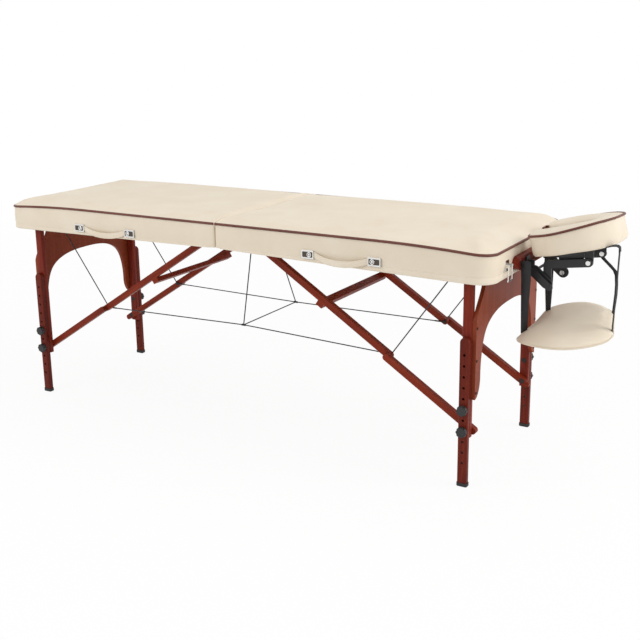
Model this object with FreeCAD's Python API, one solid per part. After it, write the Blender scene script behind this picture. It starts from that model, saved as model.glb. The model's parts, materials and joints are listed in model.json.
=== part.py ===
import FreeCAD, Part
import math
import os

V = FreeCAD.Vector

# Padded top, one half
HALF_LENGTH = 925.0
TABLE_WIDTH = 620.0
UNDERSIDE = 642.0
RAIL_DEPTH = 46.0
RAIL_T = 15.0
END_RAIL_T = 18.0
DECK_T = 5.0
EDGE_HEIGHT = 26.0
CROWN = 16.0
CROWN_REACH = 95.0
COVER_T = 4.0
CORNER_R = 60.0
SEAM_R = 10.0
SEAM_GAP = 2.0
PIPING_R = 4.0
SOCKET_R = 9.05
SOCKET_SPREAD = 100.0
SOCKET_RISE = 14.0

# Clearances
FIT = 0.3
RUN = 0.06

# Centre hinges
HINGE_DROP = 8.0
KNUCKLE_R = 6.0
HINGE_PIN_R = 3.0
LEAF_T = 3.0
LEAF_REACH = 34.0
LEAF_WIDTH = 72.0
HINGE_SPREAD = 205.0

# Legs
LEG_INSET = 87.0
POST_W = 30.0
POST_T = 18.0
POST_BOTTOM = 150.0
LOWER_LEG_W = 30.0
LOWER_LEG_T = 18.0
LOWER_LEG_TOP = 456.0
LEG_ROUND = 4.0
HOLE_COUNT = 11
HOLE_PITCH = 33.0
HOLE_FIRST = 75.0
LOWER_BOLT_HOLE = 3
UPPER_BOLT_HOLE = 5
BOLT_R = 4.0
BOLT_HEAD_R = 9.0
BOLT_HEAD_T = 4.0
KNOB_R = 16.0
KNOB_LENGTH = 15.0
KNOB_LOBES = 8
KNOB_CORE = 0.86
KNOB_RAIL_GAP = 2.0
FOOT_SOLE = 5.0
FOOT_HEIGHT = 12.0
FOOT_WALL = 1.5
FOOT_ROUND = 3.0
BRACKET_T = 3.0
CHEEK_T = 4.0
PIVOT_ROOM = 4.5

# Arch panel
PANEL_T = 12.0
PANEL_TOP_GAP = 2.0
PANEL_BOTTOM = 268.0
PANEL_TAIL = 60.0
PANEL_NECK = 188.0
PANEL_SHOULDER_DROP = 142.0
PANEL_LEG_W = 38.0
PANEL_EDGE = 2.0
ARCH_APEX = 505.0
SCREW_R = 4.0
SCREW_PROUD = 2.0
SCREW_LENGTH = 30.0

# Braces
STRUT_W = 21.0
STRUT_T = 18.0
STRUT_GAP = 0.5
STRUT_OVERHANG = 18.0
BRACE_PIVOT_X = 55.0
BRACE_RISE = 7.5
CROSSBAR_W = 24.0
CROSSBAR_T = 16.0
CROSSBAR_ALONG = 337.0

# Cables
CABLE_R = 1.5
ELBOW_HEAD_R = 9.0
ELBOW_HEAD_T = 6.0
NODE_Y = 165.0
NODE_Z = 350.0
FERRULE_R = 4.0
FERRULE_HALF = 7.0
TIE_EYE_Y = 45.0
TIE_EYE_DROP = 14.0
STAY_EYE_INSET = 110.0
EYE_R = 5.0

# Strap handles, latch and catch
HANDLE_X = 460.0
HANDLE_HALF = 112.0
HANDLE_RISE = 15.0
CAP_LENGTH = 42.0
CAP_WIDTH = 26.0
CAP_PLATE = 2.5
STRAP_WIDTH = 22.0
STRAP_T = 4.0
STRAP_BOW = 10.0
STRAP_SAG = 22.0
LATCH_Y = 195.0
LATCH_RISE = 18.0
LATCH_W = 26.0
LATCH_H = 32.0
LATCH_T = 3.0
LUG_REACH = 9.0
BAIL_WIRE_R = 1.8
BAIL_SIDE_R = 1.5
BAIL_DROP = 42.0

# Face cradle, measured from the table end
BOARD_T = 20.0
BOARD_W = 38.0
BOARD_HALF = 155.0
DOWEL_R = 9.0
DOWEL_REACH = 45.0
PLATE_T = 5.0
ARM_Y = 68.0
ROD_X = 41.0
ROD_DROP = 18.0
ROD_R = 4.0
ARM_PIVOT_X = 78.0
ARM_PIVOT_DROP = 50.0
ARM_END_X = 194.0
ARM_END_RISE = 20.0
ARM_RISE = 54.0
ARM_HALF_W = 12.0
BRACKET_HALF_W = 17.0
LEVER_LENGTH = 64.0
LEVER_T = 7.0
LEVER_HALF_W = 10.0
PAD_TILT = 14.0
PAD_X = 41.5
PAD_RISE = 27.0
PAD_SIDE = 62.0
PAD_CROWN = 17.0
PAD_CROWN_REACH = 34.0
PAD_SIDE_X = 100.0
PAD_SIDE_Y = 74.0
PAD_SIDE_R = 80.0
PAD_OUTER_X = 118.0
PAD_OUTER_Y = 28.0
PAD_OUTER_R = 120.0
PAD_TIP_R = 38.0
PAD_TIP_Y = 88.0
PAD_SLOT = 52.0
PAD_SLOT_END = 112.0
PLATFORM_T = 8.0
PLATFORM_INSET = 28.0
PLATFORM_SLOT = 58.0
EAR_HALF_W = 12.0

# Arm shelf
SHELF_X = 18.0
SHELF_DROP = 216.0
SHELF_TILT = 8.0
SHELF_T = 30.0
SHELF_LENGTH = 243.0
SHELF_INNER_Y = 148.0
SHELF_SIDE_Y = 190.0
SHELF_OUTER_Y = 100.0
SHELF_CORNER_R = 20.0
SHELF_SIDE_R = 110.0
WEB_T = 2.0
INNER_WEB_W = 30.0
INNER_WEB_END_W = 19.0
INNER_WEB_Y = 138.0
OUTER_WEB_W = 12.0
OUTER_WEB_Y = 94.0

# Derived heights
DECK_UNDER = UNDERSIDE + RAIL_DEPTH
DECK_TOP = DECK_UNDER + DECK_T
EDGE_Z = DECK_TOP + EDGE_HEIGHT
HINGE_Z = UNDERSIDE - HINGE_DROP
SOCKET_Z = UNDERSIDE + SOCKET_RISE
PIVOT_Z = DECK_UNDER - BRACKET_T - PIVOT_ROOM - POST_W / 2
LOWER_BOLT_Z = HOLE_FIRST + LOWER_BOLT_HOLE * HOLE_PITCH
UPPER_BOLT_Z = HOLE_FIRST + UPPER_BOLT_HOLE * HOLE_PITCH

# Derived widths, from the side rail inwards
HALF_WIDTH = TABLE_WIDTH / 2
RAIL_OUT_Y = HALF_WIDTH - COVER_T - FIT
RAIL_IN_Y = RAIL_OUT_Y - RAIL_T
KNOB_OUT_Y = RAIL_IN_Y - KNOB_RAIL_GAP
LEG_OUT_Y = KNOB_OUT_Y - KNOB_LENGTH - FIT
LEG_IN_Y = LEG_OUT_Y - LOWER_LEG_T
POST_OUT_Y = LEG_IN_Y - FIT
POST_IN_Y = POST_OUT_Y - POST_T
LOWER_OUT_Y = POST_IN_Y - STRUT_GAP
LOWER_IN_Y = LOWER_OUT_Y - STRUT_T
UPPER_OUT_Y = LOWER_IN_Y - STRUT_GAP
UPPER_IN_Y = UPPER_OUT_Y - STRUT_T

# Derived lengths
RAIL_END_X = HALF_LENGTH - COVER_T - FIT
RAIL_SEAM_X = SEAM_GAP / 2 + COVER_T + FIT
CENTRE_RAIL_X = RAIL_SEAM_X + END_RAIL_T
LEG_X = HALF_LENGTH - LEG_INSET

# The brace is straight from centre to leg when open, and doubled back on itself when the leg lies in the tray
LEG_REACH = PIVOT_Z - LOWER_BOLT_Z
BRACE_Z = PIVOT_Z + BRACE_RISE
BRACE_SPAN = LEG_X - BRACE_PIVOT_X
BRACE_OPEN = math.hypot(BRACE_SPAN, BRACE_Z - LOWER_BOLT_Z)
BRACE_SHUT = BRACE_SPAN - LEG_REACH
UPPER_LENGTH = (BRACE_OPEN**2 - BRACE_SHUT**2 - BRACE_RISE**2) / (2 * (BRACE_OPEN - BRACE_SHUT))
LOWER_LENGTH = BRACE_OPEN - UPPER_LENGTH
BRACE_ANGLE = math.atan2(BRACE_Z - LOWER_BOLT_Z, BRACE_SPAN)
ELBOW_X = BRACE_PIVOT_X + UPPER_LENGTH * math.cos(BRACE_ANGLE)
ELBOW_Z = BRACE_Z - UPPER_LENGTH * math.sin(BRACE_ANGLE)
CABLE_Y = UPPER_IN_Y - ELBOW_HEAD_T / 2

# Face cradle places in the table's frame
ROD_Z = UNDERSIDE - ROD_DROP
ARM_PIVOT_Z = UNDERSIDE - ARM_PIVOT_DROP
ARM_END_Z = UNDERSIDE + ARM_END_RISE
SHELF_Z = UNDERSIDE - SHELF_DROP


# Shapes
def box(x0, x1, y0, y1, z0, z1):
    """A box between two corners given in any order."""
    low = V(min(x0, x1), min(y0, y1), min(z0, z1))
    return Part.makeBox(abs(x1 - x0), abs(y1 - y0), abs(z1 - z0), low)


def rod(start, end, radius):
    """A round bar between two points."""
    run = end - start
    return Part.makeCylinder(radius, run.Length, start, run)


def rod_y(x, z, y0, y1, radius):
    """A round bar along Y."""
    return rod(V(x, min(y0, y1), z), V(x, max(y0, y1), z), radius)


def rod_x(y, z, x0, x1, radius):
    """A round bar along X."""
    return rod(V(min(x0, x1), y, z), V(max(x0, x1), y, z), radius)


def flip_x(shape):
    """The same piece on the other half of the table."""
    return shape.mirror(V(0, 0, 0), V(1, 0, 0))


def flip_y(shape):
    """The same piece on the far side of the table."""
    return shape.mirror(V(0, 0, 0), V(0, 1, 0))


def group(shapes):
    """Separate solids in one piece of the list."""
    return Part.makeCompound([s for shape in shapes for s in shape.Solids])


def pair(shape):
    """A piece and its mirror image across the table's long axis."""
    return [shape, flip_y(shape)]


def hull_wire(circles, inset, place):
    """The tight outline round some circles, listed anticlockwise as (x, y, r), drawn in by inset."""
    normals = []
    for (x0, y0, r0), (x1, y1, r1) in zip(circles, circles[1:] + circles[:1]):
        reach = math.hypot(x1 - x0, y1 - y0)
        along = ((x1 - x0) / reach, (y1 - y0) / reach)
        lean = (r0 - r1) / reach
        square = math.sqrt(1 - lean * lean)
        normals.append((square * along[1] + lean * along[0], -square * along[0] + lean * along[1]))
    edges = []
    for i, (x, y, r) in enumerate(circles):
        before, after = normals[i - 1], normals[i]
        first = math.atan2(before[1], before[0])
        sweep = (math.atan2(after[1], after[0]) - first) % (2 * math.pi)
        middle = (math.cos(first + sweep / 2), math.sin(first + sweep / 2))
        arc = [place(x + (r - inset) * n[0], y + (r - inset) * n[1]) for n in (before, middle, after)]
        edges.append(Part.Arc(*arc).toShape())
        nx, ny, nr = circles[(i + 1) % len(circles)]
        start = place(x + (r - inset) * after[0], y + (r - inset) * after[1])
        end = place(nx + (nr - inset) * after[0], ny + (nr - inset) * after[1])
        edges.append(Part.LineSegment(start, end).toShape())
    return Part.Wire(edges)


def bar_xz(points, half_width, y0, y1):
    """A flat bar along a line of points in the XZ plane, with round ends and corners."""
    pieces = []
    for (x0, z0), (x1, z1) in zip(points, points[1:]):
        circles = [(x0, z0, half_width), (x1, z1, half_width)]
        wire = hull_wire(circles, 0, lambda x, z: V(x, min(y0, y1), z))
        pieces.append(Part.Face(wire).extrude(V(0, abs(y1 - y0), 0)))
    shape = pieces[0]
    for piece in pieces[1:]:
        shape = shape.fuse(piece).removeSplitter()
    return shape


def plate(wire, run):
    """A flat plate from one closed outline."""
    return Part.Face(wire).extrude(run)


# Padded top
def top_wire(inset, z):
    """The top's outline: rounded at the table end, nearly square at the seam, where it is drawn in less."""
    seam_inset = inset / 4
    seam_r = max(SEAM_R - inset, 2.0)
    end_r = max(CORNER_R - inset, 6.0)
    x0 = SEAM_GAP / 2 + seam_inset
    x1 = HALF_LENGTH - inset
    y1 = HALF_WIDTH - inset
    circles = [
        (x0 + seam_r, -y1 + seam_r, seam_r),
        (x1 - end_r, -y1 + end_r, end_r),
        (x1 - end_r, y1 - end_r, end_r),
        (x0 + seam_r, y1 - seam_r, seam_r),
    ]
    return hull_wire(circles, 0, lambda x, y: V(x, y, z))


def top_form(skin):
    """The padded top as one closed form: flat at the rails, drawn in above, grooved for piping, crowned."""
    crown_z = EDGE_Z + PIPING_R
    sides = [
        (UNDERSIDE, 1.2),
        (UNDERSIDE + 5, 0),
        (DECK_TOP + 1, 0),
        (DECK_TOP + 9, 2.2),
        (EDGE_Z - PIPING_R - 4, 1.6),
        (EDGE_Z - PIPING_R, 3.0),
    ]
    rises = ((0.40, 0.105), (0.74, 0.295), (0.95, 0.61), (1.0, 1.0))
    crown = [(0, 3.0)] + [(rise, CROWN_REACH * share) for rise, share in rises]
    wires = [top_wire(inset + skin, z) for z, inset in sides]
    wires += [top_wire(inset + skin, crown_z + CROWN * rise * 0.75 - skin) for rise, inset in crown]
    return Part.makeLoft(wires, True, True)


def piping_path():
    """The top edge's line on three sides, open at the seam."""
    side = HALF_WIDTH - 1.6
    end = HALF_LENGTH - 1.6
    r = CORNER_R - 1.6
    slant = r * math.sqrt(0.5)
    start = SEAM_GAP / 2 + PIPING_R
    near = Part.LineSegment(V(start, -side, EDGE_Z), V(end - r, -side, EDGE_Z))
    turn = Part.Arc(
        V(end - r, -side, EDGE_Z),
        V(end - r + slant, -side + r - slant, EDGE_Z),
        V(end, -side + r, EDGE_Z),
    )
    across = Part.LineSegment(V(end, -side + r, EDGE_Z), V(end, side - r, EDGE_Z))
    back = Part.Arc(
        V(end, side - r, EDGE_Z),
        V(end - r + slant, side - r + slant, EDGE_Z),
        V(end - r, side, EDGE_Z),
    )
    far = Part.LineSegment(V(end - r, side, EDGE_Z), V(start, side, EDGE_Z))
    return Part.Wire([line.toShape() for line in (near, turn, across, back, far)])


def piping_tube(radius):
    """The piping, or its groove, along the top edge."""
    path = piping_path()
    start = path.Edges[0].Vertexes[0].Point
    section = Part.Wire(Part.makeCircle(radius, start, V(1, 0, 0)))
    return path.makePipeShell([section], True, False)


def socket_cut():
    """The two holes at the table end that take a face cradle's dowels."""
    cuts = [
        rod_x(y, SOCKET_Z, RAIL_END_X - END_RAIL_T - COVER_T, HALF_LENGTH + COVER_T, SOCKET_R)
        for y in (-SOCKET_SPREAD, SOCKET_SPREAD)
    ]
    return cuts[0].fuse(cuts[1])


def padded_top():
    """Rails, deck, foam, cover and piping of the right half."""
    holes = socket_cut()
    outside = plate(top_wire(COVER_T + FIT, UNDERSIDE), V(0, 0, RAIL_DEPTH))
    corner_x = RAIL_END_X - CORNER_R
    hollow = box(CENTRE_RAIL_X, RAIL_END_X - END_RAIL_T, -RAIL_IN_Y, RAIL_IN_Y, UNDERSIDE, DECK_UNDER)
    ring = outside.cut(hollow)
    wide = HALF_WIDTH + COVER_T
    reach = (UNDERSIDE, DECK_UNDER)
    centre = ring.common(box(0, CENTRE_RAIL_X, -wide, wide, *reach))
    near = ring.common(box(CENTRE_RAIL_X, corner_x, -wide, 0, *reach))
    far = ring.common(box(CENTRE_RAIL_X, corner_x, 0, wide, *reach))
    end = ring.common(box(corner_x, HALF_LENGTH, -wide, wide, *reach)).cut(holes)
    deck = plate(top_wire(COVER_T + FIT, DECK_UNDER), V(0, 0, DECK_T))
    above = box(-wide, HALF_LENGTH + wide, -wide, wide, DECK_TOP, DECK_TOP + 2 * EDGE_HEIGHT + CROWN)
    foam = top_form(COVER_T + FIT).common(above)
    below = plate(top_wire(COVER_T, UNDERSIDE - COVER_T), V(0, 0, RAIL_DEPTH))
    cover = top_form(0).cut(top_form(COVER_T)).cut(below)
    cover = cover.cut(piping_tube(PIPING_R + FIT / 3)).cut(holes)
    return {
        "frame_rails": group([centre, near, far, end]),
        "deck": deck,
        "foam": foam,
        "cover": cover,
        "piping": piping_tube(PIPING_R),
    }


# Centre hinges
def knuckles(y, mine):
    """The stretches of one hinge's barrel on the left leaf (even) or the right leaf (odd)."""
    step = LEAF_WIDTH / 5
    low = y - LEAF_WIDTH / 2
    return [(low + i * step + FIT / 2, low + (i + 1) * step - FIT / 2) for i in range(5) if i % 2 == mine]


def hinge_leaf(y, mine):
    """One hinge's leaf: a plate under the centre rail, notched clear of the other leaf's knuckles."""
    clear = KNUCKLE_R + 1
    leaf = box(clear, LEAF_REACH, y - LEAF_WIDTH / 2, y + LEAF_WIDTH / 2, UNDERSIDE - LEAF_T, UNDERSIDE)
    for y0, y1 in knuckles(y, mine):
        leaf = leaf.fuse(box(0, clear, y0, y1, UNDERSIDE - LEAF_T, UNDERSIDE))
        leaf = leaf.fuse(rod_y(0, HINGE_Z, y0, y1, KNUCKLE_R))
    return leaf.removeSplitter().cut(rod_y(0, HINGE_Z, y - LEAF_WIDTH, y + LEAF_WIDTH, HINGE_PIN_R + RUN))


def hinge_pin(y):
    """A hinge pin with a head at each end."""
    half = LEAF_WIDTH / 2
    pin = rod_y(0, HINGE_Z, y - half - 2, y + half + 2, HINGE_PIN_R)
    for side in (-1, 1):
        pin = pin.fuse(rod_y(0, HINGE_Z, y + side * (half + FIT), y + side * (half + 3), HINGE_PIN_R + 2))
    return pin.removeSplitter()


# Legs of the right half, far side at positive Y
def leg_bracket():
    """The clevis under the deck that a leg post turns in, and its pivot bolt."""
    cheek_in = POST_IN_Y - STRUT_GAP - CHEEK_T
    cheek_out = POST_OUT_Y + STRUT_GAP
    half = POST_W / 2
    foot = half + 8
    base = box(LEG_X - foot, LEG_X + foot, cheek_in, cheek_out + CHEEK_T, DECK_UNDER - BRACKET_T, DECK_UNDER)
    for y in (cheek_in, cheek_out):
        cheek = box(LEG_X - half, LEG_X + half, y, y + CHEEK_T, PIVOT_Z, DECK_UNDER - BRACKET_T)
        cheek = cheek.fuse(rod_y(LEG_X, PIVOT_Z, y, y + CHEEK_T, half))
        base = base.fuse(cheek)
    base = base.removeSplitter().cut(rod_y(LEG_X, PIVOT_Z, 0, HALF_WIDTH, BOLT_R + RUN))
    pin = rod_y(LEG_X, PIVOT_Z, cheek_in - 1, cheek_out + CHEEK_T + 1, BOLT_R)
    pin = pin.fuse(rod_y(LEG_X, PIVOT_Z, cheek_in - 1 - BOLT_HEAD_T, cheek_in - FIT, BOLT_HEAD_R))
    pin = pin.fuse(rod_y(LEG_X, PIVOT_Z, cheek_out + CHEEK_T + FIT, cheek_out + CHEEK_T + 5, BOLT_R + 3))
    return [base, pin.removeSplitter()]


def brace_bracket():
    """The clevis on the centre rail that an upper strut turns in, and its pivot bolt."""
    cheek_in = UPPER_IN_Y - STRUT_GAP - CHEEK_T
    cheek_out = UPPER_OUT_Y + STRUT_GAP
    half = STRUT_W / 2
    z0, z1 = BRACE_Z - half, BRACE_Z + half
    base = box(CENTRE_RAIL_X, CENTRE_RAIL_X + BRACKET_T, cheek_in, cheek_out + CHEEK_T, z0, z1)
    for y in (cheek_in, cheek_out):
        cheek = box(CENTRE_RAIL_X, BRACE_PIVOT_X, y, y + CHEEK_T, z0, z1)
        base = base.fuse(cheek).fuse(rod_y(BRACE_PIVOT_X, BRACE_Z, y, y + CHEEK_T, half))
    base = base.removeSplitter().cut(rod_y(BRACE_PIVOT_X, BRACE_Z, 0, HALF_WIDTH, BOLT_R + RUN))
    pin = rod_y(BRACE_PIVOT_X, BRACE_Z, cheek_in - 1, cheek_out + CHEEK_T + 1, BOLT_R)
    pin = pin.fuse(rod_y(BRACE_PIVOT_X, BRACE_Z, cheek_in - 1 - BOLT_HEAD_T, cheek_in - FIT, BOLT_HEAD_R - 1))
    nut_y = cheek_out + CHEEK_T
    pin = pin.fuse(rod_y(BRACE_PIVOT_X, BRACE_Z, nut_y + FIT, nut_y + 5, BOLT_R + 3))
    return [base, pin.removeSplitter()]


def rounded_leg(shape, low):
    """A leg's bar with its long edges and its round top eased, and its end at height low left square."""
    outline = [e for e in shape.Edges if e.BoundBox.YLength < FIT and e.BoundBox.ZMax > low + FIT]
    return shape.makeFillet(LEG_ROUND, outline)


def leg_post():
    """A leg's upper post, round at its pivot and square at its foot."""
    half = POST_W / 2
    post = box(LEG_X - half, LEG_X + half, POST_IN_Y, POST_OUT_Y, POST_BOTTOM, PIVOT_Z)
    post = post.fuse(rod_y(LEG_X, PIVOT_Z, POST_IN_Y, POST_OUT_Y, half)).removeSplitter()
    post = rounded_leg(post, POST_BOTTOM)
    post = post.cut(rod_y(LEG_X, PIVOT_Z, 0, HALF_WIDTH, BOLT_R + RUN))
    for z in (LOWER_BOLT_Z, UPPER_BOLT_Z):
        post = post.cut(rod_y(LEG_X, z, 0, HALF_WIDTH, BOLT_R + RUN))
    recess = POST_IN_Y + FIT + BOLT_HEAD_T + RUN
    post = post.cut(rod_y(LEG_X, UPPER_BOLT_Z, POST_IN_Y - FIT, recess, BOLT_HEAD_R + RUN))
    for z in screw_heights():
        post = post.cut(panel_screw(z, RUN))
    return post


def lower_leg():
    """The adjustable lower leg with its row of holes."""
    half = LOWER_LEG_W / 2
    top = LOWER_LEG_TOP - half
    leg = box(LEG_X - half, LEG_X + half, LEG_IN_Y, LEG_OUT_Y, FOOT_SOLE, top)
    leg = leg.fuse(rod_y(LEG_X, top, LEG_IN_Y, LEG_OUT_Y, half)).removeSplitter()
    leg = rounded_leg(leg, FOOT_SOLE)
    for i in range(HOLE_COUNT):
        leg = leg.cut(rod_y(LEG_X, HOLE_FIRST + i * HOLE_PITCH, 0, HALF_WIDTH, BOLT_R + RUN))
    return leg


def upright_edges(shape):
    """The edges of a block that stand upright."""
    return [e for e in shape.Edges if abs(e.tangentAt(e.FirstParameter).z) > 0.9]


def foot():
    """A rubber cap on the end of a lower leg."""
    half = LOWER_LEG_W / 2 + FIT
    wall = half + FOOT_WALL
    y0, y1 = LEG_IN_Y - FIT, LEG_OUT_Y + FIT
    cap = box(LEG_X - wall, LEG_X + wall, y0 - FOOT_WALL, y1 + FOOT_WALL, 0, FOOT_HEIGHT)
    cap = cap.makeFillet(LEG_ROUND + FIT + FOOT_WALL, upright_edges(cap))
    cap = cap.makeFillet(FOOT_ROUND, [e for e in cap.Edges if e.BoundBox.ZMax < FIT])
    room = box(LEG_X - half, LEG_X + half, y0, y1, FOOT_SOLE, FOOT_HEIGHT + 1)
    return cap.cut(room.makeFillet(LEG_ROUND + FIT, upright_edges(room)))


def leg_bolt(z, long):
    """An adjuster bolt, its head let into the post, or into the strut where the lower one carries it."""
    seat = LOWER_IN_Y + FIT if long else POST_IN_Y + FIT
    head = rod_y(LEG_X, z, seat, seat + BOLT_HEAD_T, BOLT_HEAD_R)
    return head.fuse(rod_y(LEG_X, z, seat, KNOB_OUT_Y - 2, BOLT_R)).removeSplitter()


def knob(z):
    """A star knob on an adjuster bolt."""
    base = LEG_OUT_Y + FIT
    shape = rod_y(LEG_X, z, base, KNOB_OUT_Y, KNOB_R * KNOB_CORE)
    lobe_r = KNOB_R * 0.3
    for i in range(KNOB_LOBES):
        turn = 2 * math.pi * i / KNOB_LOBES
        x = LEG_X + (KNOB_R - lobe_r) * math.cos(turn)
        up = z + (KNOB_R - lobe_r) * math.sin(turn)
        shape = shape.fuse(rod_y(x, up, base + KNOB_LENGTH * 0.3, KNOB_OUT_Y - 1, lobe_r))
    return shape.removeSplitter().cut(rod_y(LEG_X, z, 0, KNOB_OUT_Y - 2 + RUN, BOLT_R + RUN))


def screw_heights():
    """Heights of the three screws that hold the panel to each post."""
    low = PANEL_BOTTOM + PANEL_LEG_W / 2
    high = UNDERSIDE - PANEL_SHOULDER_DROP - PANEL_LEG_W / 2
    return [low, (low + high) / 2, high]


def panel_screw(z, room):
    """A screw through the panel into a post, or its hole with some room."""
    y = (POST_IN_Y + POST_OUT_Y) / 2
    tip = LEG_X + POST_W / 2 + PANEL_T - SCREW_LENGTH
    return rod_x(y, z, tip - room, LEG_X + POST_W / 2 + PANEL_T, SCREW_R / 2 + room)


def panel_screw_head(z):
    """A screw with its pan head on the panel's face."""
    y = (POST_IN_Y + POST_OUT_Y) / 2
    face = LEG_X + POST_W / 2 + PANEL_T
    return panel_screw(z, 0).fuse(rod_x(y, z, face, face + SCREW_PROUD, SCREW_R)).removeSplitter()


def arch_panel():
    """The plywood panel between two posts: a narrow neck, S-shaped shoulders, two legs and an arch."""
    face = LEG_X + POST_W / 2
    out = POST_OUT_Y - PANEL_EDGE
    inner = out - PANEL_LEG_W
    top = UNDERSIDE - PANEL_TOP_GAP
    shoulder = UNDERSIDE - PANEL_SHOULDER_DROP
    base = PANEL_BOTTOM + PANEL_TAIL

    def at(y, z):
        return V(face, y, z)

    def curve(points):
        line = Part.BSplineCurve()
        line.interpolate([at(y, z) for y, z in points])
        return line.toShape()

    spread = out - PANEL_NECK
    mid = (top + shoulder) / 2

    def shoulder_points(side):
        points = [(PANEL_NECK, top), (PANEL_NECK + 0.12 * spread, mid + 0.25 * (top - mid))]
        points += [(PANEL_NECK + 0.68 * spread, mid - 0.45 * (mid - shoulder)), (out, shoulder)]
        return [(side * y, z) for y, z in points]

    rise = ARCH_APEX - base
    arch = [(1.0, 0.0), (0.965, 0.42), (0.84, 0.74), (0.53, 0.94), (0.0, 1.0)]
    arch += [(-share, height) for share, height in reversed(arch[:-1])]

    def tail_points(side):
        turns = [math.radians(step * 22.5) for step in (4, 3, 2, 1, 0)]
        return [(side * (out - PANEL_LEG_W * math.cos(a)), base - PANEL_TAIL * math.sin(a)) for a in turns]

    edges = [
        Part.LineSegment(at(-PANEL_NECK, top), at(PANEL_NECK, top)).toShape(),
        curve(shoulder_points(1)),
        Part.LineSegment(at(out, shoulder), at(out, PANEL_BOTTOM)).toShape(),
        curve(tail_points(1)),
        curve([(inner * share, base + rise * height) for share, height in arch]),
        curve(list(reversed(tail_points(-1)))),
        Part.LineSegment(at(-out, PANEL_BOTTOM), at(-out, shoulder)).toShape(),
        curve(list(reversed(shoulder_points(-1)))),
    ]
    panel = plate(Part.Wire(edges), V(PANEL_T, 0, 0))
    for z in screw_heights():
        for hole in pair(panel_screw(z, RUN)):
            panel = panel.cut(hole)
    return panel


# Braces of the right half
def upper_strut():
    """The strut from the centre rail to the elbow."""
    points = [(BRACE_PIVOT_X, BRACE_Z), (ELBOW_X, ELBOW_Z)]
    strut = bar_xz(points, STRUT_W / 2, UPPER_IN_Y, UPPER_OUT_Y)
    for x, z in points:
        strut = strut.cut(rod_y(x, z, 0, HALF_WIDTH, BOLT_R + RUN))
    return strut


def lower_strut():
    """The strut from the elbow to the leg post, which runs on a little past its bolt."""
    lean = (math.cos(BRACE_ANGLE), -math.sin(BRACE_ANGLE))
    end = (LEG_X + STRUT_OVERHANG * lean[0], LOWER_BOLT_Z + STRUT_OVERHANG * lean[1])
    strut = bar_xz([(ELBOW_X, ELBOW_Z), end], STRUT_W / 2, LOWER_IN_Y, LOWER_OUT_Y)
    strut = strut.cut(rod_y(LEG_X, LOWER_BOLT_Z, 0, HALF_WIDTH, BOLT_R + RUN))
    return strut.cut(rod_y(LEG_X, LOWER_BOLT_Z, 0, LOWER_IN_Y + FIT + BOLT_HEAD_T + RUN, BOLT_HEAD_R + RUN))


def crossbar():
    """The bar under the two upper struts of a half."""
    bar = box(
        CROSSBAR_ALONG - CROSSBAR_W / 2,
        CROSSBAR_ALONG + CROSSBAR_W / 2,
        -UPPER_OUT_Y,
        UPPER_OUT_Y,
        -STRUT_W / 2 - CROSSBAR_T,
        -STRUT_W / 2,
    )
    bar.rotate(V(0, 0, 0), V(0, 1, 0), math.degrees(BRACE_ANGLE))
    bar.translate(V(BRACE_PIVOT_X, 0, BRACE_Z))
    return bar


# Cables of the right half
def stay():
    """The cable from an eye under the deck to a brace elbow."""
    eye = V(HALF_LENGTH - STAY_EYE_INSET, CABLE_Y, DECK_UNDER - EYE_R)
    elbow = V(ELBOW_X, CABLE_Y, ELBOW_Z)
    run = (eye - elbow).normalize()
    wire = rod(elbow + run * (ELBOW_HEAD_R + FIT), eye, CABLE_R)
    screw = Part.makeSphere(EYE_R, eye)
    return wire.fuse(screw).removeSplitter()


def run_cable():
    """The cable from an elbow to the centre, with the elbow pin that it hangs on."""
    elbow = V(ELBOW_X, CABLE_Y, ELBOW_Z)
    pin = rod_y(ELBOW_X, ELBOW_Z, UPPER_IN_Y - FIT - ELBOW_HEAD_T, UPPER_IN_Y - FIT, ELBOW_HEAD_R)
    pin = pin.fuse(rod_y(ELBOW_X, ELBOW_Z, UPPER_IN_Y - FIT, UPPER_OUT_Y - FIT, BOLT_R))
    wire = rod(elbow, V(FERRULE_HALF + FIT, NODE_Y, NODE_Z), CABLE_R)
    return pin.fuse(wire).removeSplitter()


def centre_ties():
    """The ties from the centre rail down to the two ferrules, and the cable across between these."""
    ends = []
    for side in (-1, 1):
        eye = V(-CENTRE_RAIL_X - EYE_R, side * TIE_EYE_Y, DECK_UNDER - TIE_EYE_DROP)
        foot_point = V(0, side * NODE_Y, NODE_Z)
        ends.append(rod(eye, foot_point, CABLE_R).fuse(Part.makeSphere(EYE_R, eye)))
        ends.append(rod_x(side * NODE_Y, NODE_Z, -FERRULE_HALF, FERRULE_HALF, FERRULE_R))
    ties = rod_y(0, NODE_Z, -NODE_Y, NODE_Y, CABLE_R)
    for end in ends:
        ties = ties.fuse(end)
    return ties.removeSplitter()


# Handles, latch and catch, on the near side at negative Y
def handle_caps():
    """The metal caps that hold a strap handle's ends to the side rail."""
    caps = []
    z = UNDERSIDE + HANDLE_RISE
    face = -HALF_WIDTH
    wide = CAP_WIDTH / 2
    room = STRAP_WIDTH / 2 + FIT
    depth = STRAP_T + FIT
    for side in (-1, 1):
        x = HANDLE_X + side * HANDLE_HALF
        half = CAP_LENGTH / 2
        cap = box(x - half, x + half, face, face - depth - CAP_PLATE, z - wide, z + wide)
        slot = box(x - half - 1, x + half + 1, face, face - depth, z - room, z + room)
        caps.append(cap.cut(slot))
    return caps


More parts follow.
